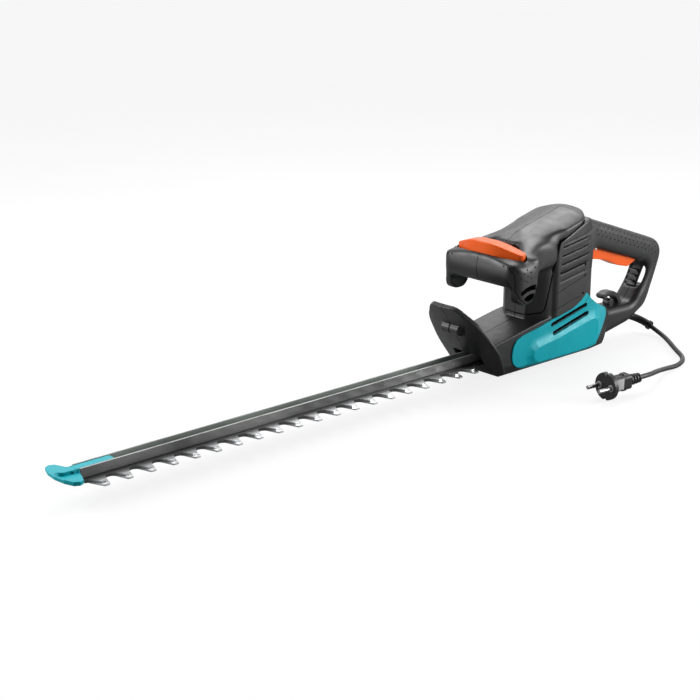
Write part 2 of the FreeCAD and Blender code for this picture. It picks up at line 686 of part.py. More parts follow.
def tower(offset):
    """The vented rear body of the tower: upright walls and a rounded rear end."""
    return prism_z(grow(TOWER_PLAN, offset), 50, 200).common(prism_y(grow(TOWER_SIDE, offset), -60, 60))


def loft(low_plan, low, high_plan, high):
    """A ruled body between two plans that have the same number of corners."""
    wires = [outline(low_plan, lambda p: Vector(p.x, p.y, low)), outline(high_plan, lambda p: Vector(p.x, p.y, high))]
    return Part.makeLoft(wires, True, True)


def dome(offset):
    """The top cover: a column that leans forward into a crowned dome."""
    column = grow(COLUMN_PLAN, offset)
    cap = grow(DOME_PLAN, offset)
    body = prism_z(column, 50, 107).fuse([loft(column, 107, cap, 165), prism_z(cap, 165, 220)])
    rise = Vector(CROWN_END[0] - CROWN_START[0], 0, CROWN_END[1] - CROWN_START[1])
    rise.normalize()
    down = Vector(rise.z, 0, -rise.x) * CROWN
    start = Vector(CROWN_START[0], 0, CROWN_START[1])
    slope = Part.makeCylinder(CROWN + offset, 400, start + down - rise * 150, rise)
    level = Part.makeCylinder(CROWN + offset, 400, Vector(-200, 0, 193.6 - CROWN), Vector(1, 0, 0))
    crown = slope.common(level).fuse(box(-100, 100, -60, 60, 40, 150))
    return body.common(prism_y(grow(DOME_SIDE, offset), -60, 60)).common(crown)


# ------------------------------------------------------------------ side panels
PANEL_OUT = size("panel_thickness")


def side_panel():
    """The coloured panel on the left flank, with two air slots and a sunk pad."""
    slab = envelope(PANEL_OUT).cut(envelope(0.0)).common(prism_y(PANEL_SIDE, -60, 0))
    recess = prism_y(PAD_SIDE, -BODY_HALF - PANEL_OUT - 5, -BODY_HALF - PANEL_OUT + 0.8)
    return slab.cut([recess] + panel_slots()).removeSplitter()


def panel_slots():
    """Two long air slots that rise to the rear; they go through the panel and the wall behind it."""
    slots = []
    for low_x, low_z in ((-12.0, 58.0), (-9.0, 46.8)):
        slot = long_slot(low_x, low_z, low_x + 63, low_z + 14, size("vent_width") / 2.0)
        slots.append(prism_y(slot, -60, -30))
    return slots


panel_left = side_panel()
panel_right = panel_left.mirror(Vector(0, 0, 0), Vector(0, 1, 0))
panels = [panel_left, panel_right]
keep("side_panel_left", panel_left)
keep("side_panel_right", panel_right)


# ------------------------------------------------------------------ rear handle loop
def handle_loop():
    """The D-shaped rear handle, rounded all along both of its sides."""
    half = size("handle_half")
    loop = prism_y(LOOP_OUTER, -half, half).cut(prism_y(LOOP_INNER, -half - 1, half + 1))
    rims = [edge for edge in loop.Edges
            if abs(abs(edge.BoundBox.YMin) - half) < 1e-3 and edge.BoundBox.YLength < 1e-3
            and edge.BoundBox.XMin > 90.0]
    return loop.makeFillet(size("handle_round"), rims)


def lever_room():
    """Everything the rear lever sweeps, with clearance: its outline at three angles."""
    half = size("lever_half") + size("lever_clearance")
    room = []
    steps = 8
    for step in range(steps + 1):
        sweep = prism_y(grow(LEVER_SIDE, size("lever_clearance")), -half, half)
        angle = -size("lever_travel_deg") * step / steps
        sweep.rotate(Vector(LEVER_PIVOT[0], 0, LEVER_PIVOT[1]), Vector(0, 1, 0), angle)
        room.append(sweep)
    return room


LEVER_PIVOT = (99.0, 132.0)
lever = prism_y(LEVER_SIDE, -size("lever_half"), size("lever_half"))
lever_pin_radius = 2.0
keep("rear_trigger", lever.cut(cross_rod(lever_pin_radius + FIT, LEVER_PIVOT[0], LEVER_PIVOT[1], -20, 20)))
keep("trigger_pin", cross_rod(lever_pin_radius, LEVER_PIVOT[0], LEVER_PIVOT[1], -13, 13))

loop = handle_loop()
slot_half = 11.5
cable_slot = box(180, 240, -slot_half, slot_half, 64, 90)
SWITCH_SIDE = [(113, 134.6, 1), (141, 127.2, 1), (141, 144, 1), (113, 150, 1)]
switch_room = prism_y([(113, 130, 0), (141, 120, 0), (141, 144, 1), (113, 150, 1)], -7.5, 7.5)
capacitor = cross_rod(8.0, 78, 21, -14, 14)
saddle = box(71, 85, -10, 10, 1.5, 16).cut(capacitor)

HOOK_X, HOOK_Z = 147.0, 45.0
hook_outer, hook_inner, hook_half = 20.5, 11.5, 6.5
hook = cross_rod(hook_outer, HOOK_X, HOOK_Z, -hook_half, hook_half)
hook = hook.cut(cross_rod(hook_inner, HOOK_X, HOOK_Z, -hook_half - 1, hook_half + 1))
hook = hook.cut(prism_y([(HOOK_X, HOOK_Z, 0), (HOOK_X - 40, HOOK_Z + 18, 0), (HOOK_X - 40, 0, 0), (HOOK_X + 6, 0, 0)],
                        -20, 20))
hook = hook.cut(loop)
keep("cable_hook", max(hook.Solids, key=lambda solid: solid.Volume))

# ------------------------------------------------------------------ main shells
body_inner = lower_body(-WALL)
rear_room = tower(-WALL).fuse(dome(-WALL)).removeSplitter()
foot_room = box(-60, 100, -BODY_HALF + WALL, BODY_HALF - WALL, 45, 96)
tower_inner = rear_room.common(box(-80, 100, -60, 60, 95.5, 240)).fuse(rear_room.common(foot_room))
cover_region = prism_y(COVER_REGION, -60, 60)
cavity = body_inner.fuse(tower_inner)


def vents():
    """Slots that wrap round the rear corner of the tower on each flank, rising to the rear."""
    cuts = []
    for index in range(int(size("vent_count"))):
        z = 155.5 - size("vent_pitch") * index
        x = 3.0 - 1.2 * index
        slot = long_slot(x, z, x + 68, z + 10, size("vent_width") / 2.0)
        for low, high in ((-60.0, -24.0), (24.0, 60.0)):
            cuts.append(prism_y(slot, low, high))
    return cuts


def carriers():
    """Ribs across the tower that hold the stator, and the shelf for the motor bracket."""
    ribs = []
    for z in (size("stator_level") + 6.0, size("stator_level") + size("stator_height") - 9.0):
        rib = prism_z(grow(TOWER_PLAN, -WALL + 0.5), z, z + 3.0).common(prism_y(grow(TOWER_SIDE, -1.0), -60, 60))
        rib = rib.common(box(-12, 100, -BODY_HALF + WALL - 0.5, BODY_HALF - WALL + 0.5, z, z + 3)).fuse(
            rib.common(box(-12, 100, -60, 60, 96, z + 3)) if z > 96 else [])
        rib = rib.cut(cover_region)
        ribs.append(rib.cut(rod(size("stator_radius") + 0.02, MOTOR_X, 0, z - 1, z + 4)))
    return ribs


SCREW_BOSS = 5.0
SHELL_SCREWS = [(-88.0, 44.0, 33.0), (68.0, 61.0, 30.0), (70.0, 152.0, 22.0), (103.0, 155.0, 12.5),
                (224.0, 113.0, 12.5), (188.0, 34.0, 12.5)]
COVER_SCREWS = [(-24.0, 115.0, 27.0)]


def screw(x, z, seat):
    """A screw that enters from the right: its head ends at the seat level."""
    shank = cross_rod(size("screw_radius"), x, z, -10, seat)
    head = cross_rod(size("screw_head_radius"), x, z, seat, seat + 2.4)
    cross = box(x - 2.2, x + 2.2, seat + 1.0, seat + 3, z - 0.5, z + 0.5)
    other = box(x - 0.5, x + 0.5, seat + 1.0, seat + 3, z - 2.2, z + 2.2)
    return shank.fuse(head).cut([cross, other]).removeSplitter()


def screw_hole(x, z, seat):
    hole = cross_rod(size("screw_radius"), x, z, -10, seat)
    return hole.fuse(cross_rod(size("screw_head_radius") + 0.3, x, z, seat, seat + 60))


blade_exit_half = 22.0
blade_exit = box(-140, -60, -blade_exit_half, blade_exit_half, COVER_TOP, RAIL_TOP + 2.5)
vented = tower(0.0).fuse(dome(0.0)).cut(cover_region)
shell = lower_body(0.0).fuse([vented, loop]).removeSplitter()
shell_bosses = [cross_rod(SCREW_BOSS, x, z, -50, 50).common(shell) for x, z, _ in SHELL_SCREWS]
shell = shell.cut([cavity, blade_exit, panel_left, panel_right, cable_slot, switch_room, hook]
                  + lever_room() + vents() + panel_slots()
                  + [slot.mirror(Vector(0, 0, 0), Vector(0, 1, 0)) for slot in panel_slots()])
shell = shell.cut(cross_rod(lever_pin_radius, LEVER_PIVOT[0], LEVER_PIVOT[1], -13, 13))

# ------------------------------------------------------------------ hand guard
GUARD_HALF = [(43, 11, 6), (51.5, 48, 60), (43.5, 90, 60), (20, 122.5, 14)]
COLLAR = [(-36, 11.5, 3), (36, 11.5, 3), (36, 58, 3), (-36, 58, 3)]


def guard():
    """The leaf-shaped hand guard: a bowed plate with a rim, leaning forwards."""
    leaf = GUARD_HALF + [(-x, y, r) for x, y, r in reversed(GUARD_HALF)]
    bow = size("guard_bow")
    wall = size("guard_wall")
    depth = size("collar_depth")

    def prism(points):
        wire = outline(points, lambda p: Vector(p.x, p.y, -30))
        return Part.Face(wire).extrude(Vector(0, 0, 30 + depth))

    def bowed(level):
        return Part.makeCylinder(bow - level, 400, Vector(0, -100, bow), Vector(0, 1, 0))

    body = prism(leaf).common(bowed(0.0)).cut(bowed(size("guard_depth")))
    body = body.cut(prism(grow(leaf, -wall)).common(bowed(wall)))
    body = body.fuse(prism(COLLAR).common(bowed(wall - 0.5)))
    rest = Part.makeCylinder(6.5, 30.0, Vector(-15, 86, 1.0), Vector(1, 0, 0)).cut(bowed(wall))
    for v in (83.6, 87.0):
        rest = rest.fuse(Part.makeBox(27, 1.8, 5.5, Vector(-13.5, v, -6.6)))
    body = body.fuse(rest).removeSplitter()
    lean = math.degrees(math.atan(GUARD_LEAN))
    body.rotate(Vector(0, 0, 0), Vector(1, 0, 0), 90.0)
    body.rotate(Vector(0, 0, 0), Vector(0, 0, 1), 90.0)
    body.rotate(Vector(0, 0, 0), Vector(0, 1, 0), -lean)
    body.translate(Vector(guard_x, 0, 0))
    return body


guard_solid = guard().cut(box(-200, -60, -blade_exit_half, blade_exit_half, 0, RAIL_TOP + 2.5))
guard_right, guard_left = halves(guard_solid)
keep("hand_guard_left", guard_left)
keep("hand_guard_right", guard_right)

# ------------------------------------------------------------------ top cover and front handle
BAR_LOW = 146.0
BAR_PLAN = [(-103, -18, 60), (-86, -size("bar_half"), 7), (-75, -48, 6), (-84, -15, 60), (-84, 15, 60),
            (-75, 48, 6), (-86, size("bar_half"), 7), (-103, 18, 60)]
BAR_FRONT = [(-size("bar_half") - 1, BAR_LOW, 1), (size("bar_half") + 1, BAR_LOW, 1),
             (size("bar_half") + 1, 158, 5), (18, 171.5, 70), (-18, 171.5, 70), (-size("bar_half") - 1, 158, 5)]
bar = prism_z(BAR_PLAN, BAR_LOW - 5, 190).common(prism_x(BAR_FRONT, -130, -60))
bar_clear = 0.5
bar_room = prism_z(grow(BAR_PLAN, bar_clear), BAR_LOW - bar_clear - size("bar_travel"), 190)
keep("front_switch_bar", bar)

grip = prism_y(GRIP_SIDE, -58, 58)
lobes = [prism_y(LOBE_SIDE, 47.5, 62), prism_y(LOBE_SIDE, -62, -47.5)]
arms = [prism_z(ARM_PLAN, 140, 156)]
arms.append(arms[0].mirror(Vector(0, 0, 0), Vector(0, 1, 0)))
front_switch = box(-100, -87, -14, 14, 127, 141).fuse(box(-96, -91, -3, 3, 141, 141.4)).removeSplitter()
handle = grip.fuse(lobes).common(prism_x(HANDLE_FRONT, -130, -40)).fuse(arms)
cover_outer = dome(0.0).common(cover_region)
handle = handle.cut(cavity)
cover = cover_outer.cut(cavity).fuse(handle).cut([front_switch, vented.common(box(-100, 200, -60, 60, 0, 240)), bar_room])
cover = cover.cut(lower_body(0.0))
cover = cover.fuse([cross_rod(SCREW_BOSS, x, z, -50, 50).common(cover_outer) for x, z, _ in COVER_SCREWS])
cover = cover.cut([screw_hole(*place) for place in COVER_SCREWS]).removeSplitter()
cover_right, cover_left = halves(cover)
keep("top_cover_left", largest(cover_left))
keep("top_cover_right", largest(cover_right))

shell = shell.fuse(carriers() + [saddle] + shell_bosses)
shell = shell.cut([screw_hole(*place) for place in SHELL_SCREWS] + panels + vents()).removeSplitter()
shell_right, shell_left = halves(shell)
keep("main_shell_left", largest(shell_left))
keep("main_shell_right", largest(shell_right))


def motor_bracket():
    """The upper bearing bracket, which spans the tower from wall to wall."""
    low = size("upper_bearing_level") - 6.0
    bracket = prism_z(grow(TOWER_PLAN, -WALL), low, low + 4.0).common(box(-14, 60, -60, 60, low, low + 4))
    collar = rod(size("bearing_radius") + 2.5, MOTOR_X, 0, low, size("upper_bearing_level") + size("bearing_width"))
    bracket = bracket.fuse(collar)
    bracket = bracket.cut(rod(size("bearing_radius"), MOTOR_X, 0, size("upper_bearing_level"), 200))
    return bracket.cut(rod(size("motor_shaft_radius") + 3.0, MOTOR_X, 0, low - 1, 200)).removeSplitter()


keep("motor_bracket", motor_bracket())

keep("housing_screws", Part.makeCompound([screw(*place) for place in SHELL_SCREWS + COVER_SCREWS]))

# ------------------------------------------------------------------ switches
rear_switch = prism_y(SWITCH_SIDE, -7.5, 7.5).fuse(box(125, 129, -2.5, 2.5, 129.9, 132.5))
keep("rear_switch", rear_switch.removeSplitter())
keep("front_switch", front_switch)
keep("capacitor", capacitor)

# ------------------------------------------------------------------ lead
CORD_POINTS = [(205, -26, 11), (204, -44, 4.5), (191, -66, 3.05), (166, -96, 3.05), (141, -129.5, 3.05),
               (112, -142, 3.05), (82, -143, 5.4), (50, -155, 12.2), (20.5, -166.5, 17.35), (3, -164.6, 17.25)]
cord_radius = size("cord_radius")


def cord_path(points):
    """Straight runs joined by tangent arcs, each as large as its two runs allow."""
    edges = []
    start = Vector(*points[0])
    length = 0.0
    for before, here, after in zip(points, points[1:], points[2:]):
        first = Vector(*here) - Vector(*before)
        second = Vector(*after) - Vector(*here)
        cut = 0.45 * min(first.Length, second.Length)
        first.normalize()
        second.normalize()
        turn = first.getAngle(second)
        radius = cut / math.tan(turn / 2.0)
        print("cord bend %.0f mm at %s" % (radius, here))
        entry = Vector(*here) - first * cut
        leave = Vector(*here) + second * cut
        bisector = (second - first).normalize()
        middle = Vector(*here) + bisector * (radius / math.cos(turn / 2.0) - radius)
        edges.append(Part.LineSegment(start, entry).toShape())
        edges.append(Part.Arc(entry, middle, leave).toShape())
        length += (entry - start).Length + radius * turn
        start = leave
    edges.append(Part.LineSegment(start, Vector(*points[-1])).toShape())
    length += (Vector(*points[-1]) - start).Length
    return Part.Wire(edges), length


def sweep_round(path, radius, start, along):
    ring = Part.Wire([Part.Circle(start, along, radius).toShape()])
    return path.makePipeShell([ring], True, False)


path, cord_length = cord_path(CORD_POINTS)
first_run = Vector(*CORD_POINTS[1]) - Vector(*CORD_POINTS[0])
cord = sweep_round(path, cord_radius, Vector(*CORD_POINTS[0]), first_run)
print("cord length %.1f mm, volume ratio %.5f"
      % (cord_length, cord.Volume / (math.pi * cord_radius ** 2 * cord_length)))
keep("power_cord", cord)


def arc_to(start, end, end_direction):
    """The arc from a point that arrives at another with a given direction."""
    chord = end - start
    back = end_direction * -1.0
    back.normalize()
    axis = chord.cross(back)
    axis.normalize()
    radial = axis.cross(back)
    radial.normalize()
    reach = chord.Length ** 2 / (2.0 * abs(chord.dot(radial)))
    centre = end + radial * (reach if (chord * -1.0).dot(radial) > 0 else -reach)
    middle = (start + end) * 0.5 - centre
    middle.normalize()
    return Part.Arc(start, centre + middle * reach, end)


def strain_relief():
    """The bent sleeve that leads the cord out of the handle, with a collar at its end."""
    root = Vector(166, 0, 27)
    end = Vector(*CORD_POINTS[0])
    arc = arc_to(root, end, first_run)
    wire = Part.Wire([arc.toShape()])
    sleeve = sweep_round(wire, 5.0, root, arc.tangent(arc.FirstParameter)[0])
    along = Vector(first_run)
    along.normalize()
    collar = Part.makeCylinder(6.2, 3.5, end - along * 3.5, along)
    return sleeve.fuse(collar).removeSplitter()


relief = strain_relief().cut(loop)
keep("strain_relief", max(relief.Solids, key=lambda solid: solid.Volume))


def plug_place(shape):
    """Move a shape built along +X from the neck to the end of the cord."""
    along = Vector(*CORD_POINTS[-1]) - Vector(*CORD_POINTS[-2])
    turn = FreeCAD.Rotation(along, Vector(0, 1, 0), Vector(0, 0, 1), "XZY")
    return shape.transformed(FreeCAD.Placement(Vector(*CORD_POINTS[-1]), turn).toMatrix())


neck = Part.makeCone(4.2, 6.0, 21, Vector(0, 0, 0), Vector(1, 0, 0))
rings = [Part.makeCylinder(6.0 + 0.3 * i, 2.4, Vector(1.5 + 4.8 * i, 0, 0), Vector(1, 0, 0)) for i in range(4)]
stem = prism_x([(-7.5, -9, 4), (7.5, -9, 4), (7.5, 9, 4), (-7.5, 9, 4)], 19.5, 52)
nubs = prism_x([(-3, -10, 1), (3, -10, 1), (3, 10, 1), (-3, 10, 1)], 22, 30)
face = Part.makeCylinder(size("plug_radius"), 6, Vector(51, 0, 0), Vector(1, 0, 0))
for side in (-1, 1):
    face = face.cut(Part.makeCylinder(2.4, 12, Vector(50, 0, side * size("plug_radius")), Vector(1, 0, 0)))
plug = neck.fuse(rings + [stem, nubs, face]).removeSplitter()
pins = []
for side in (-1, 1):
    pins.append(Part.makeCylinder(size("pin_radius"), size("pin_length"),
                                  Vector(57, side * size("pin_spacing") / 2.0, 0), Vector(1, 0, 0)))
plug = plug_place(plug)
print("plug clears the floor by %.3f before lifting" % plug.BoundBox.ZMin)
keep("plug_body", plug)
keep("plug_pins", plug_place(Part.makeCompound(pins)))

# ------------------------------------------------------------------ check and write
doc.recompute()
for thing in doc.Objects:
    if "Invalid" in thing.State or "Error" in thing.State:
        raise RuntimeError("%s is %s" % (thing.Label, thing.State))
for thing in SUBPARTS:
    if thing.Shape.isNull() or not thing.Shape.isValid() or not thing.Shape.Solids:
        raise RuntimeError("%s has no sound shape" % thing.Label)
for thing in SUBPARTS:
    thing.Shape.exportStep("parts/%s.step" % thing.Label)
    print("%-20s %2d solid(s) %9.1f mm3" % (thing.Label, len(thing.Shape.Solids), thing.Shape.Volume))
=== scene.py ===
"""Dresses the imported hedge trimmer: camera, light, materials and the finer pieces."""

import json
import math

import bmesh
import bpy
import numpy as np
from mathutils import Matrix, Vector
from mathutils.bvhtree import BVHTree
from mathutils.kdtree import KDTree


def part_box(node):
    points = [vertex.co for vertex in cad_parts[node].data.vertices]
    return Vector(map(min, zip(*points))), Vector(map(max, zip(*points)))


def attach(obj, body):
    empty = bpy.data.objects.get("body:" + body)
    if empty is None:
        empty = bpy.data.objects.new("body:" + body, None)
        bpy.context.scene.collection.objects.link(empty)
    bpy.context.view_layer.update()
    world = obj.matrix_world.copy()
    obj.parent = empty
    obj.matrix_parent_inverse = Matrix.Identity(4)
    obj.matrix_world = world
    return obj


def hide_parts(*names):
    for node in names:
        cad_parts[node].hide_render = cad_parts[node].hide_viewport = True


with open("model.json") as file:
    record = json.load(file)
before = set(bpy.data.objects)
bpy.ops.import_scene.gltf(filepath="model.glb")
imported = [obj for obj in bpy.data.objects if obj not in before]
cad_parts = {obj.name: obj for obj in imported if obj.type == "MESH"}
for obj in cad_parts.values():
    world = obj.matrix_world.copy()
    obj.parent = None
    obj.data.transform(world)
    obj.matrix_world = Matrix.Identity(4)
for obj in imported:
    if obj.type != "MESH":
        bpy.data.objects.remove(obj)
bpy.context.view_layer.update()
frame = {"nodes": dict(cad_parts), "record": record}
nodes = frame["nodes"]
MM = 0.001
scene = bpy.context.scene


# ------------------------------------------------------------------ camera
CAMERA_PLACE = (-1.4184, -1.2279, 0.5969)
CAMERA_TURN = math.radians(-42.0)
CAMERA_TILT = math.atan(482.5 / 1540.0)
CAMERA_LENS = 79.2


def add_camera():
    """A long lens from the front left, a little above the tool."""
    turn, tilt = CAMERA_TURN, CAMERA_TILT
    right = Vector((math.cos(turn), math.sin(turn), 0))
    up = Vector((-math.sin(turn) * math.sin(tilt), math.cos(turn) * math.sin(tilt), math.cos(tilt)))
    back = right.cross(up)
    data = bpy.data.cameras.new("camera")
    data.lens = CAMERA_LENS
    data.sensor_width = 36.0
    data.clip_start = 0.05
    camera = bpy.data.objects.new("camera", data)
    scene.collection.objects.link(camera)
    axes = Matrix((right, up, back)).transposed().to_4x4()
    camera.matrix_world = Matrix.Translation(CAMERA_PLACE) @ axes
    scene.camera = camera


add_camera()
scene.view_settings.view_transform = "Standard"


# ------------------------------------------------------------------ materials
class Paint:
    """A material and short ways to add nodes to it. Patterns lie in the object's own space, in metres."""

    def __init__(self, name, colour, roughness, metallic=0.0):
        self.material = bpy.data.materials.new(name)
        self.material.use_nodes = True
        self.tree = self.material.node_tree
        self.shader = self.tree.nodes["Principled BSDF"]
        for socket, value in (("Base Color", (*colour, 1)), ("Roughness", roughness), ("Metallic", metallic)):
            self.shader.inputs[socket].default_value = value
        self.place = self.tree.nodes.new("ShaderNodeTexCoord").outputs["Object"]

    def link(self, source, target):
        self.tree.links.new(source, target)

    def noise(self, scale, stretch=(1, 1, 1), detail=3.0):
        """A noise pattern; scale counts its cells in a metre, and stretch changes that for each axis."""
        mapping = self.tree.nodes.new("ShaderNodeMapping")
        mapping.inputs["Scale"].default_value = stretch
        self.link(self.place, mapping.inputs["Vector"])
        texture = self.tree.nodes.new("ShaderNodeTexNoise")
        texture.inputs["Scale"].default_value = scale
        texture.inputs["Detail"].default_value = detail
        self.link(mapping.outputs["Vector"], texture.inputs["Vector"])
        return texture.outputs["Fac"]

    def ramp(self, value, *stops):
        """Colour stops (position, (r, g, b)) read along a value."""
        ramp = self.tree.nodes.new("ShaderNodeValToRGB")
        points = ramp.color_ramp.elements
        while len(points) < len(stops):
            points.new(0.5)
        for point, (position, colour) in zip(points, stops):
            point.position = position
            point.color = (*colour, 1)
        self.link(value, ramp.inputs["Fac"])
        return ramp.outputs["Color"]

    def colour(self, value, low, high):
        """The base colour, from low to high over the middle of a noise value."""
        self.link(self.ramp(value, (0.35, low), (0.65, high)), self.shader.inputs["Base Color"])

    def roughness(self, value, low, high):
        """The roughness, from low to high over the middle of a noise value."""
        span = self.tree.nodes.new("ShaderNodeMapRange")
        for name, number in (("From Min", 0.3), ("From Max", 0.7), ("To Min", low), ("To Max", high)):
            span.inputs[name].default_value = number
        self.link(value, span.inputs["Value"])
        self.link(span.outputs["Result"], self.shader.inputs["Roughness"])

    def bump(self, value, strength, depth):
        """A fine relief, depth metres high."""
        bump = self.tree.nodes.new("ShaderNodeBump")
        bump.inputs["Strength"].default_value = strength
        bump.inputs["Distance"].default_value = depth
        self.link(value, bump.inputs["Height"])
        self.link(bump.outputs["Normal"], self.shader.inputs["Normal"])


def scaled(colour, factor):
    return tuple(channel * factor for channel in colour)


def moulded(name, colour, roughness, spread=0.06, tint=0.12, grain=0.25):
    """Moulded plastic: a fine spark-eroded grain, faint flow clouds and a satin sheen that varies."""
    paint = Paint(name, colour, roughness)
    cloud = paint.noise(22.0)
    paint.colour(cloud, scaled(colour, 1 - tint), scaled(colour, 1 + tint))
    paint.roughness(paint.noise(90.0), roughness - spread, roughness + spread)
    paint.bump(paint.noise(2600.0, detail=2.0), grain, 0.00006)
    return paint.material


def metal(name, colour, roughness, spread=0.08, stretch=(1, 1, 1), scale=900.0, tint=0.12, grain=0.12):
    """Metal with ground or drawn lines, which stretch shortens across the grain."""
    paint = Paint(name, colour, roughness, 1.0)
    lines = paint.noise(scale, stretch, 4.0)
    paint.colour(lines, scaled(colour, 1 - tint), scaled(colour, 1 + tint * 0.4))
    paint.roughness(paint.noise(scale * 0.6, stretch), roughness - spread, roughness + spread)
    paint.bump(lines, grain, 0.00003)
    return paint.material


def placed(paint, axis):
    """One coordinate of the object's own space, in metres."""
    split = paint.tree.nodes.new("ShaderNodeSeparateXYZ")
    paint.link(paint.place, split.inputs["Vector"])
    return split.outputs[axis]


def maths(paint, operation, first, second=0.0):
    """An operation on one or two values, each a number or a socket."""
    node = paint.tree.nodes.new("ShaderNodeMath")
    node.operation = operation
    for socket, value in zip(node.inputs, (first, second)):
        if isinstance(value, (int, float)):
            socket.default_value = value
        else:
            paint.link(value, socket)
    return node.outputs["Value"]


def spread(paint, value, low, high):
    """A value turned into 0 below low and 1 above high."""
    span = paint.tree.nodes.new("ShaderNodeMapRange")
    span.inputs["From Min"].default_value = low
    span.inputs["From Max"].default_value = high
    paint.link(value, span.inputs["Value"])
    return span.outputs["Result"]


def blend_colour(paint, share, first, second):
    """One colour turning into another."""
    mix = paint.tree.nodes.new("ShaderNodeMix")
    mix.data_type = "RGBA"
    for index, value in ((0, share), (6, first), (7, second)):
        if isinstance(value, tuple):
            mix.inputs[index].default_value = value
        else:
            paint.link(value, mix.inputs[index])
    return mix.outputs[2]


def blade_steel():
    """Ground steel with painted light: painted shade near the rail, brightening from 10 to 28 mm out to the
    tips, which is partly the bright bevelled tips and partly a painted sheen.
    """
    paint = Paint("ground_steel", (0.5, 0.5, 0.52), 0.3, 0.8)
    out = maths(paint, "ABSOLUTE", placed(paint, "Y"))
    lines = paint.noise(900.0, (0.04, 1, 1), 4.0)
    # painted shade near the rail, rising to a painted sheen on the bevelled tips, with the drawn lines
    painted_shade_and_sheen = maths(paint, "ADD", spread(paint, out, 0.010, 0.028), maths(paint, "MULTIPLY", lines, 0.25))
    colour = paint.ramp(painted_shade_and_sheen, (0.10, (0.06, 0.06, 0.062)), (0.45, (0.22, 0.22, 0.225)),
                        (0.80, (0.52, 0.53, 0.54)), (1.0, (0.76, 0.77, 0.78)))
    paint.link(colour, paint.shader.inputs["Base Color"])
    paint.roughness(paint.noise(540.0, (0.04, 1, 1)), 0.24, 0.42)
    paint.bump(lines, 0.15, 0.00003)
    return paint.material


RAIL_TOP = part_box("guide_rail")[1][2]
CHANNEL_SIDE = 0.0065
RIM_SIDE = 0.0071


def rail_metal():
    """A dark burnished channel. Its floor is painted paler than its flanks as painted light, and a painted
    highlight line, broken by noise, runs along the outer top edges.
    """
    paint = Paint("rail_dark", (0.10, 0.10, 0.105), 0.36, 0.3)
    across = maths(paint, "ABSOLUTE", placed(paint, "Y"))
    height = placed(paint, "Z")
    lines = paint.noise(700.0, (0.02, 1, 1), 4.0)
    stain = paint.noise(34.0, (0.35, 1, 1), 4.0)
    flank = paint.ramp(stain, (0.38, (0.12, 0.122, 0.12)), (0.66, (0.24, 0.242, 0.238)))
    # painted light: the channel floor is painted paler than the flanks to offset the walls' shade; the stain
    # clouds on both are real
    floor = paint.ramp(stain, (0.35, (0.24, 0.26, 0.245)), (0.70, (0.34, 0.37, 0.35)))
    base = blend_colour(paint, spread(paint, across, CHANNEL_SIDE - 0.0001, CHANNEL_SIDE + 0.0001), floor, flank)
    # painted highlight: a bright line along the outer top edge, broken by noise
    rim = maths(paint, "MULTIPLY", spread(paint, height, RAIL_TOP - 0.0006, RAIL_TOP - 0.0002),
                spread(paint, across, RIM_SIDE - 0.0002, RIM_SIDE + 0.0002))
    painted_edge_highlight = maths(paint, "MULTIPLY", rim, spread(paint, paint.noise(160.0, (0.3, 1, 1)), 0.30, 0.52))
    paint.link(blend_colour(paint, painted_edge_highlight, base, (0.55, 0.56, 0.57, 1)), paint.shader.inputs["Base Color"])
    paint.roughness(lines, 0.28, 0.44)
    paint.bump(lines, 0.12, 0.00003)
    return paint.material


MATERIALS = {
    "shell": moulded("shell_plastic", (0.0100, 0.0102, 0.0106), 0.42),
    "cover": moulded("cover_plastic", (0.0105, 0.0107, 0.0112), 0.40),
    "guard": moulded("guard_plastic", (0.0110, 0.0112, 0.0118), 0.42),
    "accent": moulded("teal_plastic", (0.0, 0.355, 0.42), 0.36, tint=0.04, grain=0.06),
    "control": moulded("orange_plastic", (0.88, 0.115, 0.014), 0.36, tint=0.04, grain=0.08),
    "black_rubber": moulded("rubber", (0.008, 0.008, 0.009), 0.42, grain=0.2),
    "blade_steel": blade_steel(),
    "rail_metal": rail_metal(),
    "plain_steel": metal("turned_steel", (0.55, 0.55, 0.57), 0.30),
    "nickel": metal("nickel_plate", (0.50, 0.49, 0.48), 0.30, spread=0.05, tint=0.10),
    "laminated": metal("stacked_sheets", (0.10, 0.10, 0.11), 0.45, stretch=(0.05, 0.05, 3)),
    "copper": metal("lacquered_copper", (0.30, 0.10, 0.04), 0.35, stretch=(1, 1, 0.2)),
    "brass": metal("brass_plate", (0.40, 0.27, 0.10), 0.32),
    "alloy": metal("cast_alloy", (0.50, 0.51, 0.52), 0.50, scale=400.0, grain=0.3),
    "inner_plastic": moulded("inner_plastic", (0.012, 0.012, 0.014), 0.5),
}
for slot_name, tint in (("accent", (0.45, 0.95, 1.0, 1)), ("control", (1.0, 0.55, 0.3, 1))):
    shader = MATERIALS[slot_name].node_tree.nodes["Principled BSDF"]
    shader.inputs["Specular IOR Level"].default_value = 0.4
    shader.inputs["Specular Tint"].default_value = tint
PALE = moulded("pale_plastic", (0.42, 0.42, 0.42), 0.35)
slot_of = {part["node"]: part["material_slot"] for part in frame["record"]["subparts"]}
for node_name, obj in nodes.items():
    obj.data.materials.clear()
    obj.data.materials.append(MATERIALS[slot_of[node_name]])


SHARP_ANGLE = math.radians(42.0)
FAR_SIDE = 90.0
FINE_EDGE = 0.45
MARK_MARGIN = 1.6


def plain(name, mesh):
    """An object from a mesh or bmesh, not yet a piece."""
    if isinstance(mesh, bmesh.types.BMesh):
        data = bpy.data.meshes.new(name)
        mesh.to_mesh(data)
        mesh.free()
        mesh = data
    obj = bpy.data.objects.new(name, mesh)
    scene.collection.objects.link(obj)
    return obj


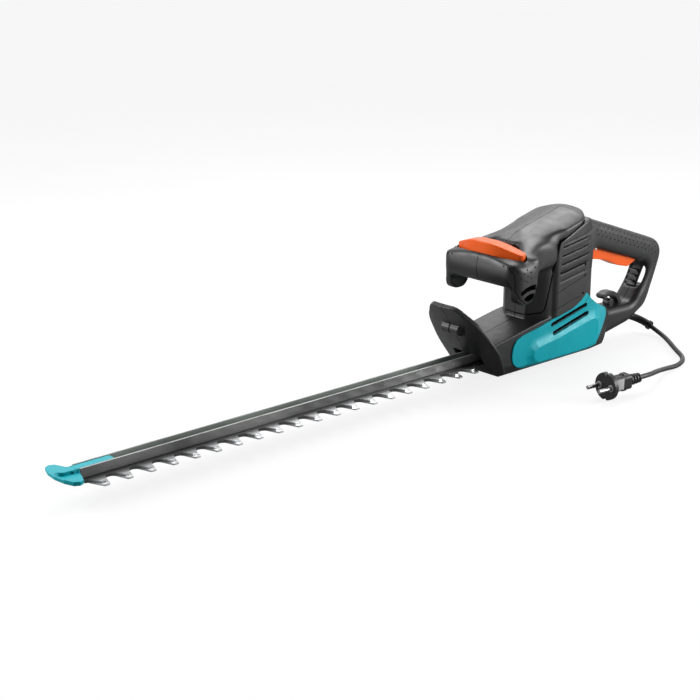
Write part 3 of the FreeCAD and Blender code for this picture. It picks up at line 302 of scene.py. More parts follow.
def dress(obj, slot, body, *replaced, material=None):
    """Makes an object a piece: smooth shading with crisp cut edges, its material, body and CAD nodes."""
    obj.data.materials.clear()
    obj.data.materials.append(material or MATERIALS[slot])
    for polygon in obj.data.polygons:
        polygon.use_smooth = True
    obj.data.set_sharp_from_angle(angle=SHARP_ANGLE)
    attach(obj, body)
    if replaced:
        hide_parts(*replaced)


def settle(obj):
    """Turns an object's modifiers into its mesh."""
    bpy.context.view_layer.update()
    mesh = bpy.data.meshes.new_from_object(obj.evaluated_get(bpy.context.evaluated_depsgraph_get()))
    old = obj.data
    obj.modifiers.clear()
    obj.data = mesh
    bpy.data.meshes.remove(old)


def modify(obj, kind, **settings):
    """Adds a modifier, which settle then turns into mesh."""
    modifier = obj.modifiers.new(kind.lower(), kind)
    for key, value in settings.items():
        setattr(modifier, key, value)


def prism(points, axis, low, high):
    """A closed mesh from an outline in mm, drawn across an axis and pulled along it from low to high."""
    place = {"y": lambda a, b, level: (a, level, b), "z": lambda a, b, level: (a, b, level)}[axis]
    mesh = bmesh.new()
    rings = [[mesh.verts.new(Vector(place(a, b, level)) * MM) for a, b in points] for level in (low, high)]
    mesh.faces.new(rings[0])
    mesh.faces.new(reversed(rings[1]))
    for i in range(len(points)):
        j = (i + 1) % len(points)
        mesh.faces.new((rings[0][j], rings[0][i], rings[1][i], rings[1][j]))
    bmesh.ops.recalc_face_normals(mesh, faces=mesh.faces)
    return mesh


def block(low, high):
    """A closed box in mm."""
    (x0, y0, z0), (x1, y1, z1) = low, high
    return prism([(x0, y0), (x1, y0), (x1, y1), (x0, y1)], "z", z0, z1)


def ring(a, b, radius, steps=32):
    """A circle's points."""
    return [(a + radius * math.cos(2 * math.pi * i / steps), b + radius * math.sin(2 * math.pi * i / steps))
            for i in range(steps)]


def both(half):
    """The levels of something that lies evenly across the middle plane."""
    return -half, half


def ends(side, low, high):
    """The two levels between low and high on one side of the middle plane, lower first."""
    return sorted((side * low, side * high))


def slot_outline(a0, b0, a1, b1, half, steps=8):
    """A slot with round ends between two points."""
    heading = math.atan2(b1 - b0, a1 - a0)
    points = []
    for end, (a, b) in enumerate(((a1, b1), (a0, b0))):
        for i in range(steps + 1):
            angle = heading - math.pi / 2 + math.pi * (end + i / steps)
            points.append((a + half * math.cos(angle), b + half * math.sin(angle)))
    return points


def band(points, half):
    """The outline of a line with a width."""
    left, right = [], []
    for index, point in enumerate(points):
        before = Vector(points[max(0, index - 1)])
        after = Vector(points[min(len(points) - 1, index + 1)])
        run = (after - before).normalized()
        side = Vector((-run.y, run.x)) * half
        left.append(tuple(Vector(point) + side))
        right.append(tuple(Vector(point) - side))
    return left + right[::-1]


def hull(points):
    """The closed convex form round some points in mm."""
    mesh = bmesh.new()
    for point in points:
        mesh.verts.new(Vector(point) * MM)
    found = bmesh.ops.convex_hull(mesh, input=mesh.verts)
    spare = [item for item in found["geom_interior"] if isinstance(item, bmesh.types.BMVert)]
    bmesh.ops.delete(mesh, geom=spare, context="VERTS")
    return mesh


def ball(centre, radius, steps=10):
    """Points spread over a ball, for a hull."""
    x, y, z = centre
    points = []
    for down in [math.pi * (i + 0.5) / steps for i in range(steps)]:
        for turn in [math.pi * j / steps for j in range(2 * steps)]:
            points.append((x + radius * math.sin(down) * math.cos(turn),
                           y + radius * math.sin(down) * math.sin(turn), z + radius * math.cos(down)))
    return points


def points_of(obj):
    """The mesh's points as an array in mm."""
    flat = np.empty(len(obj.data.vertices) * 3)
    obj.data.vertices.foreach_get("co", flat)
    return flat.reshape(-1, 3) / MM


def ramp_up(values, low, high):
    """A smooth rise from 0 at low to 1 at high."""
    share = np.clip((values - low) / (high - low), 0.0, 1.0)
    return share * share * (3 - 2 * share)


def carve(obj, *cutters, operation="DIFFERENCE"):
    """Cuts closed meshes out of an object, or joins them to it."""
    for cutter in cutters:
        tool = plain("tool", cutter)
        modify(obj, "BOOLEAN", object=tool, solver="MANIFOLD", operation=operation)
        settle(obj)
        data = tool.data
        bpy.data.objects.remove(tool)
        bpy.data.meshes.remove(data)


def soften(obj, rounds, rule=None):
    """Smooths a mesh, everywhere or as far as a rule on the points says."""
    settings = {"factor": 0.5, "iterations": rounds}
    if rule:
        weights = rule(points_of(obj))
        group = obj.vertex_groups.new(name="soft")
        for level in range(1, 11):
            chosen = np.nonzero(np.round(weights * 10) == level)[0]
            group.add(chosen.tolist(), level / 10, "REPLACE")
        settings["vertex_group"] = "soft"
    modify(obj, "SMOOTH", **settings)
    settle(obj)
    obj.vertex_groups.clear()


def remesh(obj, voxel):
    """Makes one closed even mesh of everything in an object, voxel mm fine."""
    modify(obj, "REMESH", mode="VOXEL", voxel_size=voxel * MM)
    settle(obj)


def skin(name, node_names, voxel, rounds, zones=(), keep=0.4, extra=(), cut=(), within=None):
    """A softened copy of CAD nodes. Two halves are joined at their flat faces first.

    extra is added and cut taken away before rounds of smoothing, as is what lies outside within. zones are
    (rule, rounds) for more smoothing in places, and keep is the share of the faces that is kept.
    """
    mesh = bmesh.new()
    for node_name in node_names:
        mesh.from_mesh(nodes[node_name].data)
    if len(node_names) > 1:
        inside = [face for face in mesh.faces if all(abs(vertex.co.y) < 1e-6 for vertex in face.verts)]
        bmesh.ops.delete(mesh, geom=inside, context="FACES")
    bmesh.ops.remove_doubles(mesh, verts=mesh.verts, dist=2e-5 if len(node_names) > 1 else 1e-6)
    for part in extra:
        more = bpy.data.meshes.new("more")
        part.to_mesh(more)
        part.free()
        mesh.from_mesh(more)
        bpy.data.meshes.remove(more)
    obj = plain(name, mesh)
    remesh(obj, voxel)
    if cut or within:
        carve(obj, *cut)
        if within:
            carve(obj, within, operation="INTERSECT")
        remesh(obj, voxel)
    soften(obj, rounds)
    for rule, more_rounds in zones:
        soften(obj, more_rounds, rule)
    modify(obj, "DECIMATE", ratio=keep)
    settle(obj)
    return obj


def split(whole, base):
    """Splits a skin along the seam into a left and a right half, with a fine gap between them."""
    out = []
    for side, word in ((-1, "left"), (1, "right")):
        half = plain("%s_%s" % (base, word), whole.data.copy())
        low, high = ends(side, SEAM, FAR_SIDE)
        carve(half, block((-400, low, -20), (400, high, 260)), operation="INTERSECT")
        out.append((half, side, word))
    bpy.data.objects.remove(whole)
    return out


def tree_of(obj):
    """A ray casting tree of an object's mesh, in mm."""
    points = [vertex.co / MM for vertex in obj.data.vertices]
    return BVHTree.FromPolygons(points, [tuple(polygon.vertices) for polygon in obj.data.polygons])


def spaced(points, step):
    """Points along a run of straight pieces, a step apart."""
    out = []
    for first, second in zip(points, points[1:]):
        first, second = Vector(first), Vector(second)
        count = max(1, round((second - first).length / step))
        out += [first.lerp(second, i / count) for i in range(count)]
    return out + [Vector(points[-1])]


def onto(tree, starts, heading):
    """Where rays from the starts first meet the surface, with the surface's normal there."""
    found = []
    for start in starts:
        place, normal, _, _ = tree.ray_cast(Vector(start), Vector(heading), 200.0)
        if place is not None:
            found.append((place, normal))
    return found


def on_flank(tree, side, points):
    """Points of the side view, laid on the outer face of one side."""
    return onto(tree, [(x, side * FAR_SIDE, z) for x, z in points], (0, -side, 0))


def drawn(tree, side, line, step=0.8):
    """A line of the side view, laid on the outer face of one side."""
    return on_flank(tree, side, spaced(line, step))


def press(obj, marks):
    """Presses lines and dimples into a surface. A mark is (places with normals, radius, depth)."""
    mesh = bmesh.new()
    mesh.from_mesh(obj.data)
    rows = [(place, normal, radius, depth) for places, radius, depth in marks for place, normal in places]
    near = KDTree(len(rows))
    for index, row in enumerate(rows):
        near.insert(row[0], index)
    near.balance()
    for _ in range(4):
        close = set()
        for vertex in mesh.verts:
            _, index, distance = near.find(vertex.co / MM)
            if distance < rows[index][2] + MARK_MARGIN:
                close.add(vertex)
        edges = [edge for edge in mesh.edges if edge.calc_length() > FINE_EDGE * MM
                 and (edge.verts[0] in close or edge.verts[1] in close)]
        if not edges:
            break
        bmesh.ops.subdivide_edges(mesh, edges=edges, cuts=1, use_grid_fill=True)
        bmesh.ops.triangulate(mesh, faces=[face for face in mesh.faces if len(face.verts) > 3])
    for vertex in mesh.verts:
        _, index, distance = near.find(vertex.co / MM)
        _, normal, radius, depth = rows[index]
        if distance < radius:
            share = min(1.0, (1 - distance / radius) * 1.8)
            vertex.co -= normal * (depth * MM * share * share * (3 - 2 * share))
    mesh.to_mesh(obj.data)
    mesh.free()


def outline_distance(points, corners):
    """How far points of a plane lie outside a closed outline; inside counts as negative."""
    corners = np.array(corners, float)
    best = np.full(len(points), 1e9)
    inside = np.zeros(len(points), bool)
    for first, second in zip(corners, np.roll(corners, -1, axis=0)):
        run = second - first
        share = np.clip(((points - first) @ run) / (run @ run), 0, 1)
        best = np.minimum(best, np.linalg.norm(points - first - share[:, None] * run, axis=1))
        if run[1]:
            crosses = (first[1] > points[:, 1]) != (second[1] > points[:, 1])
            at = first[0] + (points[:, 1] - first[1]) * run[0] / run[1]
            inside ^= crosses & (points[:, 0] < at)
    return np.where(inside, -best, best)


# ------------------------------------------------------------------ cord
ROUTE = [(205, -26, 11), (204, -44, 4.5), (191, -66, 3.05), (166, -96, 3.05), (141, -129.5, 3.05),
         (112, -142, 3.05), (82, -143, 5.4), (50, -155, 12.2), (20.5, -166.5, 17.35), (3, -164.6, 17.25)]


def add_cord(points, plug_pieces):
    """The lead: a round rubber sheath from the strain relief over the floor to the plug."""
    curve = bpy.data.curves.new("lead", "CURVE")
    curve.dimensions = "3D"
    spline = curve.splines.new("NURBS")
    spline.points.add(len(points) - 1)
    for target, point in zip(spline.points, points):
        target.co = (*(Vector(point) * MM), 1)
    spline.order_u = 3
    spline.use_endpoint_u = True
    spline.resolution_u = 16
    curve.bevel_depth = 3.0 * MM
    curve.bevel_resolution = 6
    obj = bpy.data.objects.new("lead", curve)
    scene.collection.objects.link(obj)
    curve.materials.append(MATERIALS["black_rubber"])
    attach(obj, "trimmer")
    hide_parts("power_cord")


# ------------------------------------------------------------------ crown and front handle
SEAM = 0.35
COVER_LINE = [(-90, 60), (-44, 68.5), (-23.5, 74.2), (-21.2, 79), (-6.6, 155.5), (-3.5, 160.6), (43, 180.5),
              (100, 201)]
COVER_GROOVE = 0.55
LOBE_LINE = [(-108, 150), (-104.6, 140.5), (-103, 129), (-102, 119), (-98, 110), (-90.5, 104)]
LOBE_PITS = [(-86.4, 144.7), (-80.9, 140.7), (-91.5, 140.1), (-86, 136.7), (-80.5, 133.3), (-96.4, 134.9),
             (-91, 131.5), (-86.5, 129.5), (-73.2, 145.4)]
LOBE_SLOTS = [
    [(-96.5, 114.5), (-96, 119.5), (-88, 123.2), (-79, 124.8), (-70.5, 125), (-71, 118), (-79, 118.8),
     (-88, 117.2), (-93.5, 114.6)],
    [(-92.5, 109.5), (-87.5, 113), (-80.5, 114.6), (-73, 114.4), (-74, 110), (-78, 107), (-83.5, 105.3),
     (-89, 106.8)],
]
BAR_PLAN = [(-103.5, -18), (-100.5, -36), (-94, -50), (-86.5, -56.6), (-81, -55.5), (-74.6, -48.5), (-80, -30),
            (-83, -14), (-83, 14), (-80, 30), (-74.6, 48.5), (-81, 55.5), (-86.5, 56.6), (-94, 50), (-100.5, 36),
            (-103.5, 18)]
POCKET_FLOOR = 141.4
SWITCH_ROOM = ((-100.3, -14.3, 126.7), (-86.7, 14.3, 146))
CORNER = (-88.0, 38.0, 24.5)
WALL_PLAN = [(-62, 74), (-61, 60), (-57, 51), (-50, 45.5), (-40, 43), (-8, 42.2), (-8, 74)]
WEB_BALLS = (((-26, 26, 163), 9.0), ((-58, 33, 156), 9.0), ((-50, 24, 158.5), 9.0), ((-74, 46, 150), 8.5),
             ((-70, 51, 138), 9.0), ((-52, 34, 138), 8.0), ((-10, 33, 140), 8.0), ((-8, 29, 163), 9.0))


def arm_zone(points):
    """Where the dome's flank runs out to the front handle."""
    x, y, z = points[:, 0], np.abs(points[:, 1]), points[:, 2]
    return ramp_up(x, -80, -66) * ramp_up(-x, -8, 8) * ramp_up(z, 122, 134) * ramp_up(y, 10, 20)


def grip_zone(points):
    """The front handle."""
    return ramp_up(-points[:, 0], 62, 72) * ramp_up(points[:, 2], 112, 122)


def lobe_zone(points):
    """The front handle with the lobes that hang from its ends."""
    return ramp_up(-points[:, 0], 58, 68) * ramp_up(points[:, 2], 90, 95)


def crease_zone(points):
    """The top of the dome."""
    return ramp_up(points[:, 2], 150, 162) * ramp_up(points[:, 0], -66, -56)


def web(side):
    """The web that carries the dome's flank out to the front handle's end."""
    return hull([point for (x, y, z), radius in WEB_BALLS for point in ball((x, side * y, z), radius)])


def corner_cut(side):
    """What is cut off the front handle's corner in plan, leaving a large round."""
    x, y, radius = CORNER
    turns = [math.pi / 2 * i / 12 for i in range(12, -1, -1)]
    arc = [(x - radius * math.sin(turn), side * (y + radius * math.cos(turn))) for turn in turns]
    return prism([(x, side * 75), (-122, side * 75), (-122, side * y)] + arc, "z", 90, 180)


def wall_cut(side):
    """What is cut off behind the handle's end, so that it stands out from the column."""
    return prism([(x, side * y) for x, y in WALL_PLAN], "z", 92, 175)


def add_crown():
    """The top cover's halves: dome, front column, front handle with its lobes, and the pocket for the bar."""
    cuts = [make(side) for side in (-1, 1) for make in (corner_cut, wall_cut)]
    whole = skin("crown", ["top_cover_left", "top_cover_right"], voxel=0.85, rounds=5, cut=cuts,
                 extra=[web(-1), web(1), prism(BAR_PLAN, "z", POCKET_FLOOR - 0.9, 157.5)],
                 zones=((arm_zone, 260), (grip_zone, 160), (lobe_zone, 40), (crease_zone, 20)), keep=0.5)
    carve(whole, prism(band(COVER_LINE, COVER_GROOVE), "y", *both(70)), prism(BAR_PLAN, "z", POCKET_FLOOR, 200),
          block(*SWITCH_ROOM))
    for half, side, word in split(whole, "crown"):
        carve(half, *[prism(slot, "y", *ends(side, 50, 75)) for slot in LOBE_SLOTS])
        tree = tree_of(half)
        press(half, [(drawn(tree, side, LOBE_LINE), 1.2, 1.2), (on_flank(tree, side, LOBE_PITS), 1.15, 0.9)])
        dress(half, "cover", "trimmer", "top_cover_" + word)


add_crown()

# ------------------------------------------------------------------ lower housing, tower and rear handle
HANDLE_AXIS = [(92, 154), (200, 116), (219, 100), (215, 75)]
DOT_ROWS = [((-6.3, 97.7), (42.2, 110.8)), ((-12.4, 75.9), (38, 87))]
REAR_NOTCHES = [(45, 125.5), (45, 111.5), (42, 89)]
THIN_SLOT = [(-1.8, 111.5), (44, 118.2)]
LEVER_POCKET = [(91.5, 117), (91.5, 141), (97, 142.3), (183.5, 116.6), (191.9, 109.2), (191.7, 99.5), (172, 92),
                (152, 97), (124, 109)]
LEVER_FILL = [(90.5, 135), (90.5, 143), (97, 143.5), (185, 118), (193, 110), (193, 101)]
LEVER_HALF, LEVER_WALL = 9.0, 0.4
TOWER_ARC = (40.1, -0.5, 42.0, 44.0)
THICK_VENTS = 4
VENT_RUN, VENT_RISE, VENT_HALF = 68, 10, 2.5
STRIP_FRONT, STRIP_BACK, STRIP_HALF = -0.35, -2.4, 3.4


def vent_start(index):
    """The front end of a vent slot's middle line."""
    return 3.0 - 1.2 * index, 155.5 - 11.0 * index


def slot_plug(side):
    """A curved strip that closes the lowest vent slot, just under the tower's surface."""
    centre_x, centre_y, radius, last = TOWER_ARC
    start_x, start_z = vent_start(THICK_VENTS)
    turns = [math.radians(last * i / 8) for i in range(9)]
    plan = [(-5.0, 41.5)] + [(centre_x + radius * math.sin(turn), centre_y + radius * math.cos(turn))
                             for turn in turns]
    mesh = bmesh.new()
    rows = []
    for index, (x, y) in enumerate(plan):
        run = Vector(plan[min(index + 1, 9)]) - Vector(plan[max(index - 1, 0)])
        outward = Vector((-run.y, run.x)).normalized()
        level = start_z + (x - start_x) * VENT_RISE / VENT_RUN
        corners = [(x + outward.x * depth, side * (y + outward.y * depth), level + rise)
                   for depth, rise in ((STRIP_FRONT, -STRIP_HALF), (STRIP_FRONT, STRIP_HALF),
                                       (STRIP_BACK, STRIP_HALF), (STRIP_BACK, -STRIP_HALF))]
        rows.append([mesh.verts.new(Vector(corner) * MM) for corner in corners])
    for first, second in zip(rows, rows[1:]):
        for i in range(4):
            j = (i + 1) % 4
            mesh.faces.new((first[i], first[j], second[j], second[i]))
    mesh.faces.new(rows[0])
    mesh.faces.new(rows[-1])
    bmesh.ops.recalc_face_normals(mesh, faces=mesh.faces)
    return mesh


def handle_zone(points):
    """The rear handle's loop."""
    x, z = points[:, 0], points[:, 2]
    return ramp_up(x, 88, 98) * ramp_up(z, 52, 66)


def neck_zone(points):
    """Where the rear handle meets the tower."""
    x, z = points[:, 0], points[:, 2]
    return ramp_up(x, 74, 82) * ramp_up(-x, -120, -104) * ramp_up(z, 112, 124)


def roof_zone(points):
    """The tower's top edge."""
    return ramp_up(points[:, 2], 158, 168) * ramp_up(points[:, 0], 0, 10)


def handle_pits(tree, side):
    """Rows of dimples over the upper part of the rear handle, set staggered."""
    stations = spaced([(x, 0, z) for x, z in HANDLE_AXIS], 8.5)
    pits = []
    for row, degrees in enumerate((10, 28, 45, 60, 76, 94)):
        for index in range(len(stations) - 1):
            run = stations[index + 1] - stations[index]
            centre = stations[index] + run * (0.5 * (row % 2))
            run.normalize()
            outward = Vector((-run.z, 0, run.x))
            turn = math.radians(degrees)
            heading = outward * math.cos(turn) + Vector((0, side * math.sin(turn), 0))
            pits += onto(tree, [centre + heading * 40], -heading)
    return pits


def add_body():
    """The main shell's halves: lower body, vented tower and rear handle with the lever's pocket."""
    whole = skin("body", ["main_shell_left", "main_shell_right"], voxel=0.9, rounds=5, keep=0.5,
                 extra=[slot_plug(-1), slot_plug(1), prism(LEVER_FILL, "y", *both(LEVER_HALF + LEVER_WALL))],
                 zones=((handle_zone, 220), (neck_zone, 60), (roof_zone, 30)))
    carve(whole, prism(band(COVER_LINE, COVER_GROOVE), "y", *both(70)),
          prism(LEVER_POCKET, "y", *both(LEVER_HALF)))
    for index in range(THICK_VENTS):
        x, z = vent_start(index)
        slot = slot_outline(x, z, x + VENT_RUN, z + VENT_RISE, VENT_HALF)
        carve(whole, *[prism(slot, "y", *ends(side, 30, 60)) for side in (-1, 1)])
    for half, side, word in split(whole, "body"):
        tree = tree_of(half)
        press(half, [(handle_pits(tree, side), 1.2, 0.9), (drawn(tree, side, THIN_SLOT), 0.9, 1.1)]
              + [(drawn(tree, side, row, 2.2), 0.8, 0.7) for row in DOT_ROWS]
              + [(on_flank(tree, side, REAR_NOTCHES), 2.0, 2.4)])
        dress(half, "shell", "trimmer", "main_shell_" + word)


add_body()

# ------------------------------------------------------------------ hand guard with its two rests
REST_X, REST_Z = -146.9, 72.1
REST_RADIUS, REST_HALF, REST_GAP = 7.6, 14, 0.9


def add_guard():
    """The guard's halves with a round rest on each, parted by a gap."""
    whole = skin("guard", ["hand_guard_left", "hand_guard_right"], voxel=0.7, rounds=10, keep=0.6,
                 extra=[prism(ring(REST_X, REST_Z, REST_RADIUS), "y", *both(REST_HALF))])
    carve(whole, block((REST_X - 12, -REST_GAP, REST_Z - 12), (REST_X + 1, REST_GAP, REST_Z + 9)))
    for half, _, word in split(whole, "guard"):
        dress(half, "guard", "trimmer", "hand_guard_" + word)


add_guard()

# ------------------------------------------------------------------ coloured flanks
PAD_LINE = [(-46.5, 20.5), (-48.5, 26), (-46, 31.5), (-40, 35.3), (-30, 37), (-7.5, 39.5), (58.8, 52.3),
            (67, 52.5), (73.5, 49), (77, 42), (78, 33), (75, 25.5), (67, 19), (50, 16.5), (21, 15), (-25, 15.5),
            (-40, 17)]
FLANK_LINE = [(-85, 30), (-82, 44), (-76, 51), (-66, 54.5), (-38, 59), (6, 69), (39, 79.5), (51, 89), (57, 83),
              (64, 76.5), (76, 68.5), (88, 63), (98, 59.5), (107, 55), (111.5, 48), (109, 41), (98, 32),
              (84, 21.5), (70, 13.5), (56, 10.5), (-60, 10.5), (-74, 15.5), (-81, 21)]
RIB_LINES = [[(50, 76.5), (57, 82), (61, 87)], [(56, 73), (65, 78.5), (71, 82)],
             [(60, 67.5), (72, 73), (80, 75)]]
FLANK_SLOTS = ((-12.0, 58.0), (-9.0, 46.8))
FLANK_SLOT_RUN, FLANK_SLOT_RISE, FLANK_SLOT_HALF = 63, 14, 2.7
FLANK_FACE = 42.0
PAD_RECESS = 1.4
PAD_RISE = 1.5
SLOPE_DROP, SLOPE_RUN = 3.9, 14.0


def add_flank(word, side):
    """The flank's pad stands out; round it the surface falls away towards the panel's edges."""
    flank = skin("flank_" + word, ["side_panel_" + word], voxel=0.6, rounds=4, keep=0.9,
                 within=prism(FLANK_LINE, "y", *ends(side, 15, 70)))
    points = points_of(flank)
    fall = np.clip(outline_distance(points[:, [0, 2]], PAD_LINE) / SLOPE_RUN, 0.0, 1.0)
    sink = SLOPE_DROP * (1 - (1 - fall) ** 2) - PAD_RISE
    flat = np.abs(points[:, 1]) > FLANK_FACE - PAD_RECESS
    points[:, 1] = np.where(flat, side * FLANK_FACE, points[:, 1])
    points[:, 1] -= side * sink
    flank.data.vertices.foreach_set("co", (points * MM).ravel())
    flank.data.update()
    soften(flank, 5)
    for x, z in FLANK_SLOTS:
        slot = slot_outline(x, z, x + FLANK_SLOT_RUN, z + FLANK_SLOT_RISE, FLANK_SLOT_HALF)
        carve(flank, prism(slot, "y", *ends(side, 30, 60)))
    tree = tree_of(flank)
    press(flank, [(drawn(tree, side, line), 1.5, 0.9) for line in RIB_LINES])
    dress(flank, "accent", "trimmer", "side_panel_" + word)


add_flank("left", -1)
add_flank("right", 1)

bar = skin("grip_bar", ["front_switch_bar"], voxel=0.6, rounds=14)
dress(bar, "control", "front_switch_bar", "front_switch_bar")
lever = skin("lever", ["rear_trigger"], voxel=0.6, rounds=8)
dress(lever, "control", "rear_trigger", "rear_trigger")


# ------------------------------------------------------------------ tip, hook and strut
TIP_EDGE = [(-676, 8), (-680.5, 20), (-683.5, 27), (-689, 29.5), (-694.5, 26.5), (-698.5, 15), (-700.2, 0)]
PLATE_LOW, PLATE_HIGH = -7.9, -3.4
BLOCK_HALF = 7.9
TONGUE_FRONT, TONGUE_BACK, TONGUE_HALF = -691, -633.2, 5.5
JOINT_X = -678.6


def add_tip():
    """The nose: a wide half-moon plate, a block against the rail and a raised tongue with a groove round it."""
    top = RAIL_TOP / MM
    plan = TIP_EDGE + [(x, -y) for x, y in TIP_EDGE[-2::-1]]
    tongue = slot_outline(TONGUE_FRONT, 0, -640, 0, TONGUE_HALF)
    tongue = [(x if x < -650 else TONGUE_BACK, y) for x, y in tongue]
    tip = plain("tip_cap", prism(plan, "z", top + PLATE_LOW, top + PLATE_HIGH))
    carve(tip, block((-683, -BLOCK_HALF, top - 10), (-675.3, BLOCK_HALF, top - 1.0)),
          prism(tongue, "z", top - 8, top - 0.4), operation="UNION")
    remesh(tip, 0.4)
    soften(tip, 8)
    modify(tip, "DECIMATE", ratio=0.5)
    settle(tip)
    tree = tree_of(tip)
    rim = slot_outline(TONGUE_FRONT, 0, -676, 0, TONGUE_HALF + 1.1)
    round_tongue = [(x, y, 80.0) for x, y in spaced(rim + rim[:1], 0.8) if x < -676.5]
    marks = [(onto(tree, round_tongue, (0, 0, -1)), 1.1, 0.9)]
    for side in (-1, 1):
        starts = [(JOINT_X, side * 30.0, z) for z in np.arange(top - 10, top, 0.6)]
        marks.append((onto(tree, starts, (0, -side, 0)), 0.9, 0.9))
    press(tip, marks)
    dress(tip, "accent", "trimmer", "tip_protector")


add_tip()


HOOK_SPINE = [(162.6, 41.5), (161.8, 50), (156, 58), (147, 62.4), (137.5, 63.2), (130.6, 61.2), (128.4, 59)]
HOOK_HALF_THICK, HOOK_HALF_WIDE = 3.3, 6.4


def add_hook():
    """The cable hook: a finger that arches forward over a round boss."""
    finger = band(spaced(HOOK_SPINE, 2.5), HOOK_HALF_THICK)
    hook = plain("cable_finger", prism(finger, "y", *both(HOOK_HALF_WIDE)))
    carve(hook, prism(ring(145.5, 50, 5.2), "y", *both(5.5)), block((140, -4, 43), (151, 4, 50)),
          operation="UNION")
    remesh(hook, 0.5)
    soften(hook, 10)
    dress(hook, "shell", "trimmer", "cable_hook")


add_hook()


FOOT_X, FOOT_Z = 194.5, 64.4
STRUT_LEAN = 0.56
STRUT_RIBS = (69.5, 76.5, 83.5)
RIB_HALF = 1.0


def add_strut_insert():
    """A ribbed insert that half closes the opening in the rear strut."""
    insert = plain("strut_insert", prism([(FOOT_X, FOOT_Z), (199.5, FOOT_Z), (214, 89.6), (208.5, 89.6)],
                                         "y", -3.5, 11.2))
    for level in STRUT_RIBS:
        x = FOOT_X + (level - FOOT_Z) * STRUT_LEAN
        low, high = level - RIB_HALF, level + RIB_HALF
        carve(insert, prism([(x - 5.0, low), (x + 3, low), (x + 3, high), (x - 4.2, high)], "y", -2.0, 11.0),
              operation="UNION")
    modify(insert, "BEVEL", width=0.5 * MM, segments=2, limit_method="ANGLE")
    settle(insert)
    dress(insert, "black_rubber", "trimmer")


add_strut_insert()


# ------------------------------------------------------------------ plug
PIN_SIDE = 9.5
DISC_FACE = 56.9
NUB_SIDE, NUB_RADIUS = 9.0, 2.2
COLLAR_SECTION = ((2.6, -0.4), (2.6, 0.5), (3.0, 0.8), (3.7, 0.8), (4.1, 0.4), (4.1, -0.4))
STEM_PATCH = ((33, 7.0, -6.3), (49.5, 7.75, 6.3))


def add_plug():
    """The plug's body with its nubs, light rings round the pins and a light patch on the stem."""
    end = Vector(ROUTE[-1])
    along = (end - Vector(ROUTE[-2])).normalized()
    across = Vector((0, 0, 1)).cross(along).normalized()
    up = along.cross(across)
    place = Matrix.Translation(end * MM) @ Matrix((along, across, up)).transposed().to_4x4()

    def moved(mesh):
        """A mesh drawn along x from the cord's end, put where the plug is."""
        bmesh.ops.transform(mesh, matrix=place, verts=mesh.verts)
        return mesh

    nubs = []
    for z in both(NUB_SIDE):
        balls = [ball((x, y, z), NUB_RADIUS, 6) for x in (25, 30) for y in both(1.5)]
        nubs.append(moved(hull([point for points in balls for point in points])))
    body = skin("plug_shell", ["plug_body"], voxel=0.4, rounds=4, keep=0.6, extra=nubs)
    dress(body, "black_rubber", "trimmer", "plug_body")
    collars = bmesh.new()
    for middle in both(PIN_SIDE):
        rings = [[collars.verts.new(Vector((DISC_FACE + depth, y, z)) * MM) for y, z in ring(middle, 0, radius)]
                 for radius, depth in COLLAR_SECTION]
        for first, second in zip(rings, rings[1:] + rings[:1]):
            for i in range(len(first)):
                j = (i + 1) % len(first)
                collars.faces.new((first[i], first[j], second[j], second[i]))
    bmesh.ops.recalc_face_normals(collars, faces=collars.faces)
    collars = plain("pin_collars", moved(collars))
    dress(collars, "inner_plastic", "trimmer", material=PALE)
    patch = plain("stem_patch", moved(block(*STEM_PATCH)))
    modify(patch, "BEVEL", width=0.3 * MM, segments=2)
    settle(patch)
    dress(patch, "inner_plastic", "trimmer", material=PALE)
    return [body, collars, patch]


add_cord(ROUTE, add_plug())


# ------------------------------------------------------------------ dark sheets behind the vents, painted shade
SCREEN_OUTLINE = [(2, 106), (62, 117), (66, 168), (4, 160)]
SCREEN_INNER, SCREEN_OUTER = 36.2, 37.4


def add_vent_shade_sheets():
    """Dark sheets that stand behind the vent slots as painted shade, so that the slots look dark inside."""
    for word, side in (("left", -1), ("right", 1)):
        # painted shade: a dark sheet where the inside of the tower lies in shade
        screen = plain("vent_shade_sheet_" + word, prism(SCREEN_OUTLINE, "y", *ends(side, SCREEN_INNER, SCREEN_OUTER)))
        modify(screen, "BEVEL", width=0.3 * MM, segments=2)
        settle(screen)
        dress(screen, "inner_plastic", "trimmer")


add_vent_shade_sheets()


# ------------------------------------------------------------------ floor and light
# Lengths are in metres again.
FLOOR_HALF = 8.0
FLOOR_GLOW = 0.82
BRIGHT_SIDE = (0.50, 0.78, 0.38)
LAMPS = (
    # name, place, aim, length of a side, power in watts
    ("back_box", (0.50, 0.52, 1.18), (-0.05, 0, 0.1), 0.8, 11),
    ("front_box", (-1.15, 0.78, 0.50), (-0.05, 0, 0.12), 0.6, 12),
    ("side_box", (0.80, -1.00, 0.45), (0, 0, 0.1), 0.7, 16),
)


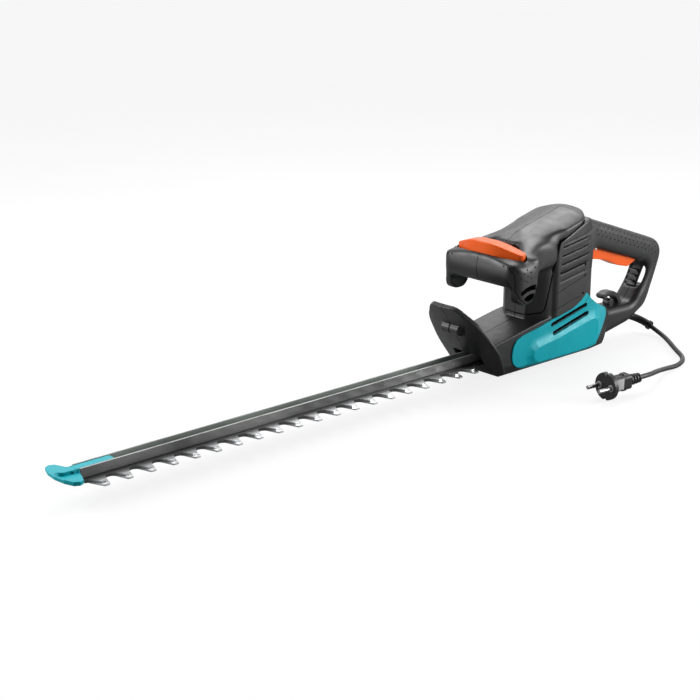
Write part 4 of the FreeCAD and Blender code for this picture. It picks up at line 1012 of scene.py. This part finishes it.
def add_floor():
    """A floor that is white to the camera with a faint shadow, and plain grey to the light."""
    paint = Paint("floor_paint", (0.9, 0.9, 0.9), 0.8)
    path = paint.tree.nodes.new("ShaderNodeLightPath")
    seen = paint.ramp(paint.noise(3.0), (0.35, (0.88, 0.88, 0.88)), (0.65, (0.92, 0.92, 0.92)))
    paint.link(blend_colour(paint, path.outputs["Is Camera Ray"], (0.30, 0.30, 0.30, 1), seen),
               paint.shader.inputs["Base Color"])
    glow = paint.tree.nodes.new("ShaderNodeEmission")
    mix = paint.tree.nodes.new("ShaderNodeMixShader")
    paint.link(maths(paint, "MULTIPLY", path.outputs["Is Camera Ray"], FLOOR_GLOW), mix.inputs["Fac"])
    paint.link(paint.shader.outputs["BSDF"], mix.inputs[1])
    paint.link(glow.outputs["Emission"], mix.inputs[2])
    paint.link(mix.outputs["Shader"], paint.tree.nodes["Material Output"].inputs["Surface"])
    mesh = bpy.data.meshes.new("floor")
    corners = [(x * FLOOR_HALF, y * FLOOR_HALF, 0) for x, y in ((-1, -1), (1, -1), (1, 1), (-1, 1))]
    mesh.from_pydata(corners, [], [(0, 1, 2, 3)])
    mesh.materials.append(paint.material)
    floor = plain("floor", mesh)


def add_light(name, place, aim, size, power):
    """A square lamp at a place, turned towards its aim."""
    data = bpy.data.lights.new(name, "AREA")
    data.shape = "SQUARE"
    data.size = size
    data.energy = power
    light = bpy.data.objects.new(name, data)
    scene.collection.objects.link(light)
    light.location = place
    light.rotation_euler = (Vector(aim) - Vector(place)).to_track_quat("-Z", "Y").to_euler()


def add_world():
    """White for the camera; for the light, plain grey that is brighter behind and above the tool."""
    world = bpy.data.worlds.new("studio")
    scene.world = world
    world.use_nodes = True
    tree = world.node_tree
    back = tree.nodes["Background"]
    heading = tree.nodes.new("ShaderNodeTexCoord")
    share = tree.nodes.new("ShaderNodeVectorMath")
    share.operation = "DOT_PRODUCT"
    share.inputs[1].default_value = Vector(BRIGHT_SIDE).normalized()
    span = tree.nodes.new("ShaderNodeMapRange")
    span.interpolation_type = "SMOOTHSTEP"
    for name, value in (("From Min", -0.2), ("From Max", 0.8), ("To Min", 0.10), ("To Max", 1.15)):
        span.inputs[name].default_value = value
    path = tree.nodes.new("ShaderNodeLightPath")
    bright = tree.nodes.new("ShaderNodeMath")
    bright.operation = "MAXIMUM"
    tree.links.new(heading.outputs["Generated"], share.inputs[0])
    tree.links.new(share.outputs["Value"], span.inputs["Value"])
    tree.links.new(span.outputs["Result"], bright.inputs[0])
    tree.links.new(path.outputs["Is Camera Ray"], bright.inputs[1])
    tree.links.new(bright.outputs["Value"], back.inputs["Strength"])
    back.inputs["Color"].default_value = (1, 1, 1, 1)


add_floor()
add_world()
for lamp in LAMPS:
    add_light(*lamp)
